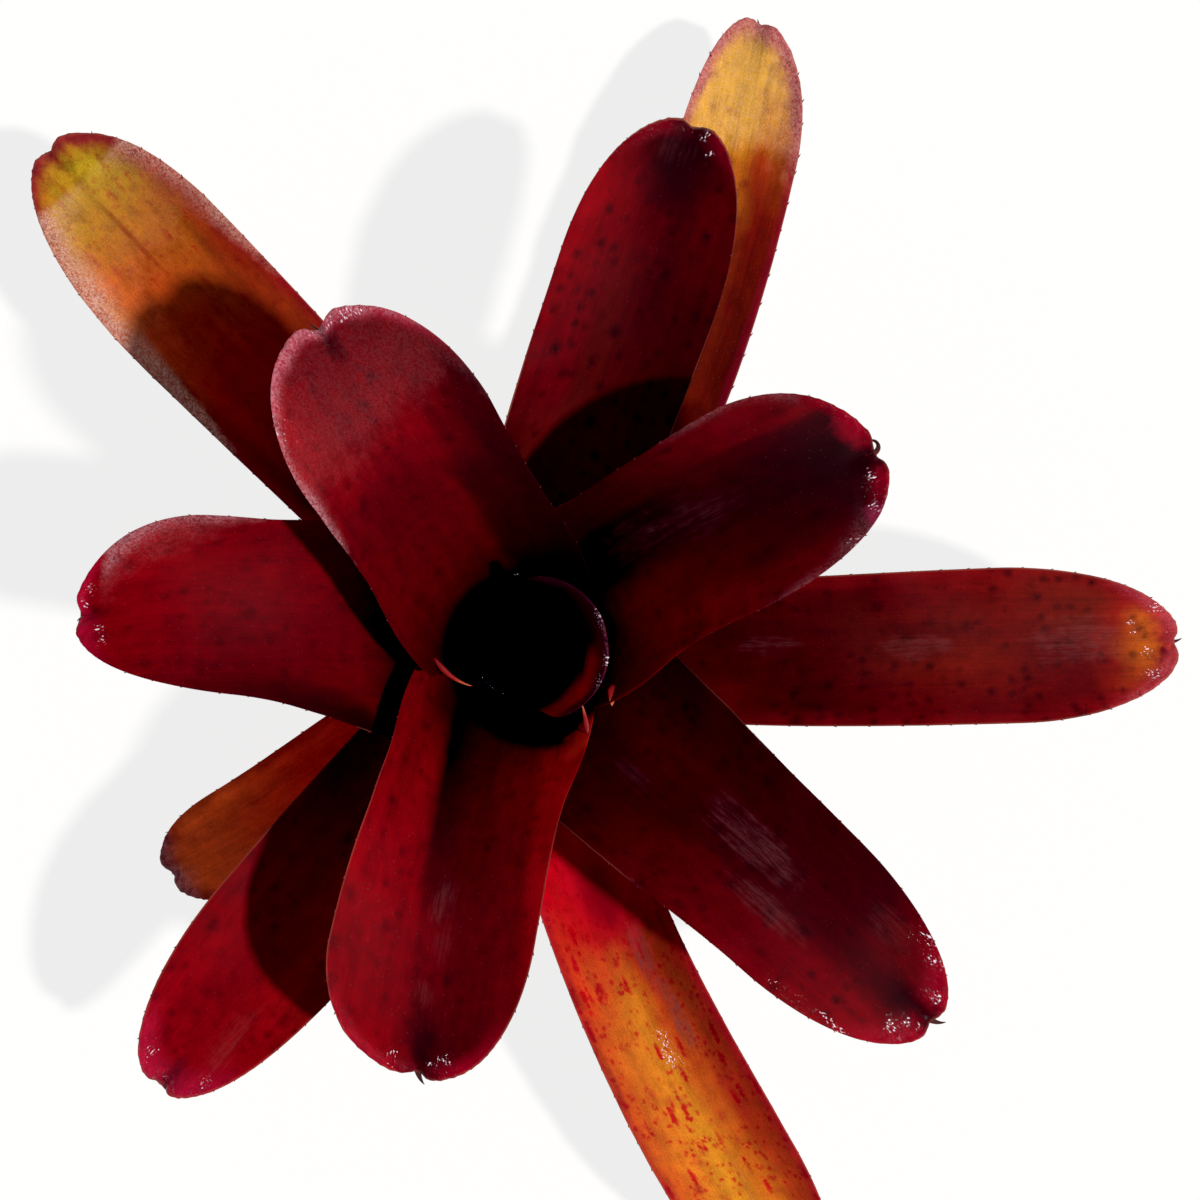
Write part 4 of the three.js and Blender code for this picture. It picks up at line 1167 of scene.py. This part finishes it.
def leaf_back(f, color):
    """Duller, banded across by grey scales, and ribbed and pale where the sheath clasps."""
    bands = f.step(f.noise(f.place(3.5, 45), detail=3) + f.grain * 0.3, 0.4, 0.62)
    banded = f.mix(bands * 0.32, f.mix(0.55, color, OLIVE), SCALES)
    ribs = f.noise(f.place(80, 1.0), detail=3, rough=0.6) + f.mottle * 0.25
    sheath = f.ramp(ribs, [(0.3, SHEATH_DARK), (0.5, SHEATH), (0.72, SHEATH_PALE)])
    sheath = f.mix(f.step(f.edge + f.blotch * 8 + f.mottle * 3, 6, 0) * 0.6, sheath, PAPER)
    sheath = f.mix(f.step(f.along + f.mottle * 0.04, 0.09, 0.0) * 0.7, sheath, FOOT)
    return f.mix(f.step(f.along + f.blotch * 0.15, 0.42, 0.14), banded, sheath)


# %% The whole leaf: a matt skin, and a glossy crumpled one where it is wet
SKIN_BUMP, SKIN_GLOSS = 0.05, 0.05
WET_BUMP, WET_GLOSS, WET_ROUGH = 0.5, 0.22, 0.11


def leaf_wet(f, look, rim):
    """A faint shine at the rim, and ovals that a noise breaks into drops."""
    wet = rim * look["shine"] * f.upper
    drops_and_painted_glints = f.step(f.noise(f.place(1.1, 1.0), detail=1), 0.5, 0.6)
    for *oval, strength in look["wet"]:
        wet = wet + f.step(f.oval(*oval) + f.mottle * 3, 0, 0.3) * drops_and_painted_glints * strength
    return wet


def leaf_skin(f, color, gloss, rough, depth, height):
    """One shader of the leaf's colour over its own bump, depth in millimetres."""
    bump = f.node("ShaderNodeBump", sockets={"Strength": 1.0, "Distance": depth * MM, "Height": height})
    return f.node("ShaderNodeBsdfPrincipled", sockets={
        "Base Color": color, "Roughness": rough, "Normal": bump, "Specular IOR Level": gloss})


def leaf_finish(name, look):
    """Pigment, what lies on it with the painted shade, sheen and glints, and the back on the lower face;
    then the two skins, mixed by the wet.
    """
    f = LeafFinish(name)
    rim = leaf_rim(f, look)
    color = leaf_cover_and_painted_light(f, look, leaf_pigment(f, look, rim))
    color = f.mix(f.under, color, leaf_back(f, color))
    grained = f.lines * 0.6 + f.grain * 0.3 + f.mottle * 2
    matt = leaf_skin(f, color, SKIN_GLOSS, 0.66 + f.grain * 0.25, SKIN_BUMP, grained)
    crumpled = f.noise(f.place(0.9, 0.7), detail=2) + f.mottle
    glossy = leaf_skin(f, color, WET_GLOSS, WET_ROUGH, WET_BUMP, crumpled)
    both = f.node("ShaderNodeMixShader", sockets={0: leaf_wet(f, look, rim), 1: matt, 2: glossy})
    f.node("ShaderNodeOutputMaterial", sockets={"Surface": both})
    return f.owner


# %% The spines' finish
SPINE_RAMP = [(0.0, BLOOD), (0.6, (0.15, 0.02, 0.015)), (1.0, (0.05, 0.015, 0.01))]
THORN_RAMP = [(0.0, (0.16, 0.003, 0.008)), (0.4, (0.05, 0.008, 0.006)), (1.0, (0.02, 0.006, 0.004))]
TORN_RAMP = [(0.0, (0.12, 0.002, 0.003)), (0.6, (0.26, 0.008, 0.006)), (1.0, (0.5, 0.14, 0.05))]
HORN_GRAIN, HORN_BUMP = 1800.0, 0.05


def spine_finish():
    """Horn, from root to point: a spine goes from red to brown, the thorn is dark, a torn slip dries pale."""
    f = new_finish("spine_horn")
    share, kind = f.attribute("share"), f.attribute("kind")
    color = f.mix(kind, f.ramp(share, SPINE_RAMP), f.ramp(share, THORN_RAMP))
    color = f.mix(f.step(kind, 1.2, 1.8), color, f.ramp(share, TORN_RAMP))
    place = f.node("ShaderNodeTexCoord", output="Object")
    sockets = {"Vector": place, "Scale": HORN_GRAIN, "Detail": 2.0}
    grain = f.node("ShaderNodeTexNoise", sockets=sockets, output="Fac")
    bump = f.node("ShaderNodeBump", sockets={"Distance": HORN_BUMP * MM, "Height": grain})
    return f.surface({"Base Color": color, "Roughness": 0.35 + grain * 0.2, "Normal": bump,
                      "Specular IOR Level": 0.12})


# %% Make the leaves
rng = np.random.default_rng(SPINE_SEED)
horn = spine_finish()
total = 0
for index, (name, shape) in enumerate(SHAPES.items()):
    leaf = Leaf(name, shape, index - HEARTS)
    look = {**PLAIN_LOOK, **LOOKS[name]}
    blade = leaf_mesh(leaf, leaf_finish(name + "_skin", look))
    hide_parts(name)
    if index >= HEARTS:
        spines = leaf_spines(leaf, horn, rng)
    total += len(blade.data.polygons)
print("leaf faces:", total)

# %% [markdown]
# ## The stem
#
# Under the leaves is a short woody stem, ringed by the scars of old leaves. It is cut flat where the plant
# was taken from its root, and stands on that cut. A turned profile could do, but scars run round as uneven
# wavy ridges, so the radius is a formula of height and angle.

# %% Stem mesh
STEM_CUT, STEM_STUB, STUB_HEIGHT, STEM_TOP = 17, 21, 15, 48.8
STUB_ROWS, CONE_ROWS, STEM_TURNS = 90, 60, 144
STEM_INSET = 0.85
STEM_LEAST = 0.05
SCAR_STEP, SCAR_DEPTH = 3.2, 0.8
CUT_BEVEL = 0.985


def stem_radius(z, a):
    """Straight sides up to the stub's top, then a cone under the leaf bases, less the groove of each scar,
    max(cos, 0)^3 of a height that wavers with the angle, plus the fibres' ridges."""
    stub = mix(STEM_CUT, STEM_STUB, smooth(z, 0, STUB_HEIGHT))
    cone = FIRST_BASE[0] - STEM_INSET + (FIRST_BASE[1] - z) * BASE_STEP[0] / -BASE_STEP[1]
    radius = np.where(z < STUB_HEIGHT, stub, np.minimum(cone, STEM_STUB))
    wave = 0.5 * np.sin(3 * a) + 0.35 * np.sin(5 * a + 1) + 0.2 * np.sin(11 * a + 2)
    height = z + wave + 0.55 * np.sin(1.3 * z + a)
    groove = np.maximum(np.cos(2 * np.pi * height / SCAR_STEP), 0) ** 3
    fade = smooth(z, 0.4, 1.6) * (1 - smooth(z, STUB_HEIGHT - 1.5, STUB_HEIGHT))
    fibre = 0.12 * np.sin(47 * a + 3 * np.sin(z)) + 0.1 * np.sin(29 * a + z)
    return np.maximum(radius - (SCAR_DEPTH * groove - fibre) * fade, STEM_LEAST)


def stem_mesh(material):
    """Rings of that radius from the cut up, with one face on the cut and one on the top."""
    upper = np.linspace(STUB_HEIGHT, STEM_TOP, CONE_ROWS)[1:]
    heights = np.concatenate([np.linspace(0, STUB_HEIGHT, STUB_ROWS), upper])
    angle = np.arange(STEM_TURNS) / STEM_TURNS * 2 * np.pi
    z, a = np.meshgrid(heights, angle, indexing="ij")
    radius = stem_radius(z, a)
    rings = np.stack([radius * np.cos(a), radius * np.sin(a), z], -1)
    rings[0, :, :2] *= CUT_BEVEL
    faces = stack_faces(len(heights), STEM_TURNS)
    return make_piece("stem_wood", rings.reshape(-1, 3) * MM, faces, material)


# %% Stem finish
FIBRE_RAMP = [(0.3, (0.06, 0.03, 0.015)), (0.5, (0.2, 0.11, 0.05)), (0.7, (0.4, 0.26, 0.13))]
FIBRE_SCALE = (900.0, 900.0, 90.0)
DAMP_PATCH = (0.10, 0.05, 0.03)
FIBRE_BUMP = 0.4


def stem_finish():
    """Dry brown fibres that run up the stem, with darker patches."""
    f = new_finish("stem_fibre")
    place = f.node("ShaderNodeTexCoord", output="Object")
    stretched = f.node("ShaderNodeMapping", sockets={"Vector": place, "Scale": FIBRE_SCALE})
    fibres, patches = (
        f.node("ShaderNodeTexNoise", sockets={"Vector": at, "Scale": scale, "Detail": detail}, output="Fac")
        for at, scale, detail in ((stretched, 1.0, 4.0), (place, 160.0, 3.0)))
    color = f.mix(f.step(patches, 0.5, 0.65) * 0.6, f.ramp(fibres, FIBRE_RAMP), DAMP_PATCH)
    bump = f.node("ShaderNodeBump", sockets={"Distance": FIBRE_BUMP * MM, "Height": fibres + patches})
    return f.surface({"Base Color": color, "Roughness": 0.75 + fibres * 0.2, "Normal": bump})


stem = stem_mesh(stem_finish())
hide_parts("stem")
print("stem faces:", len(stem.data.polygons))
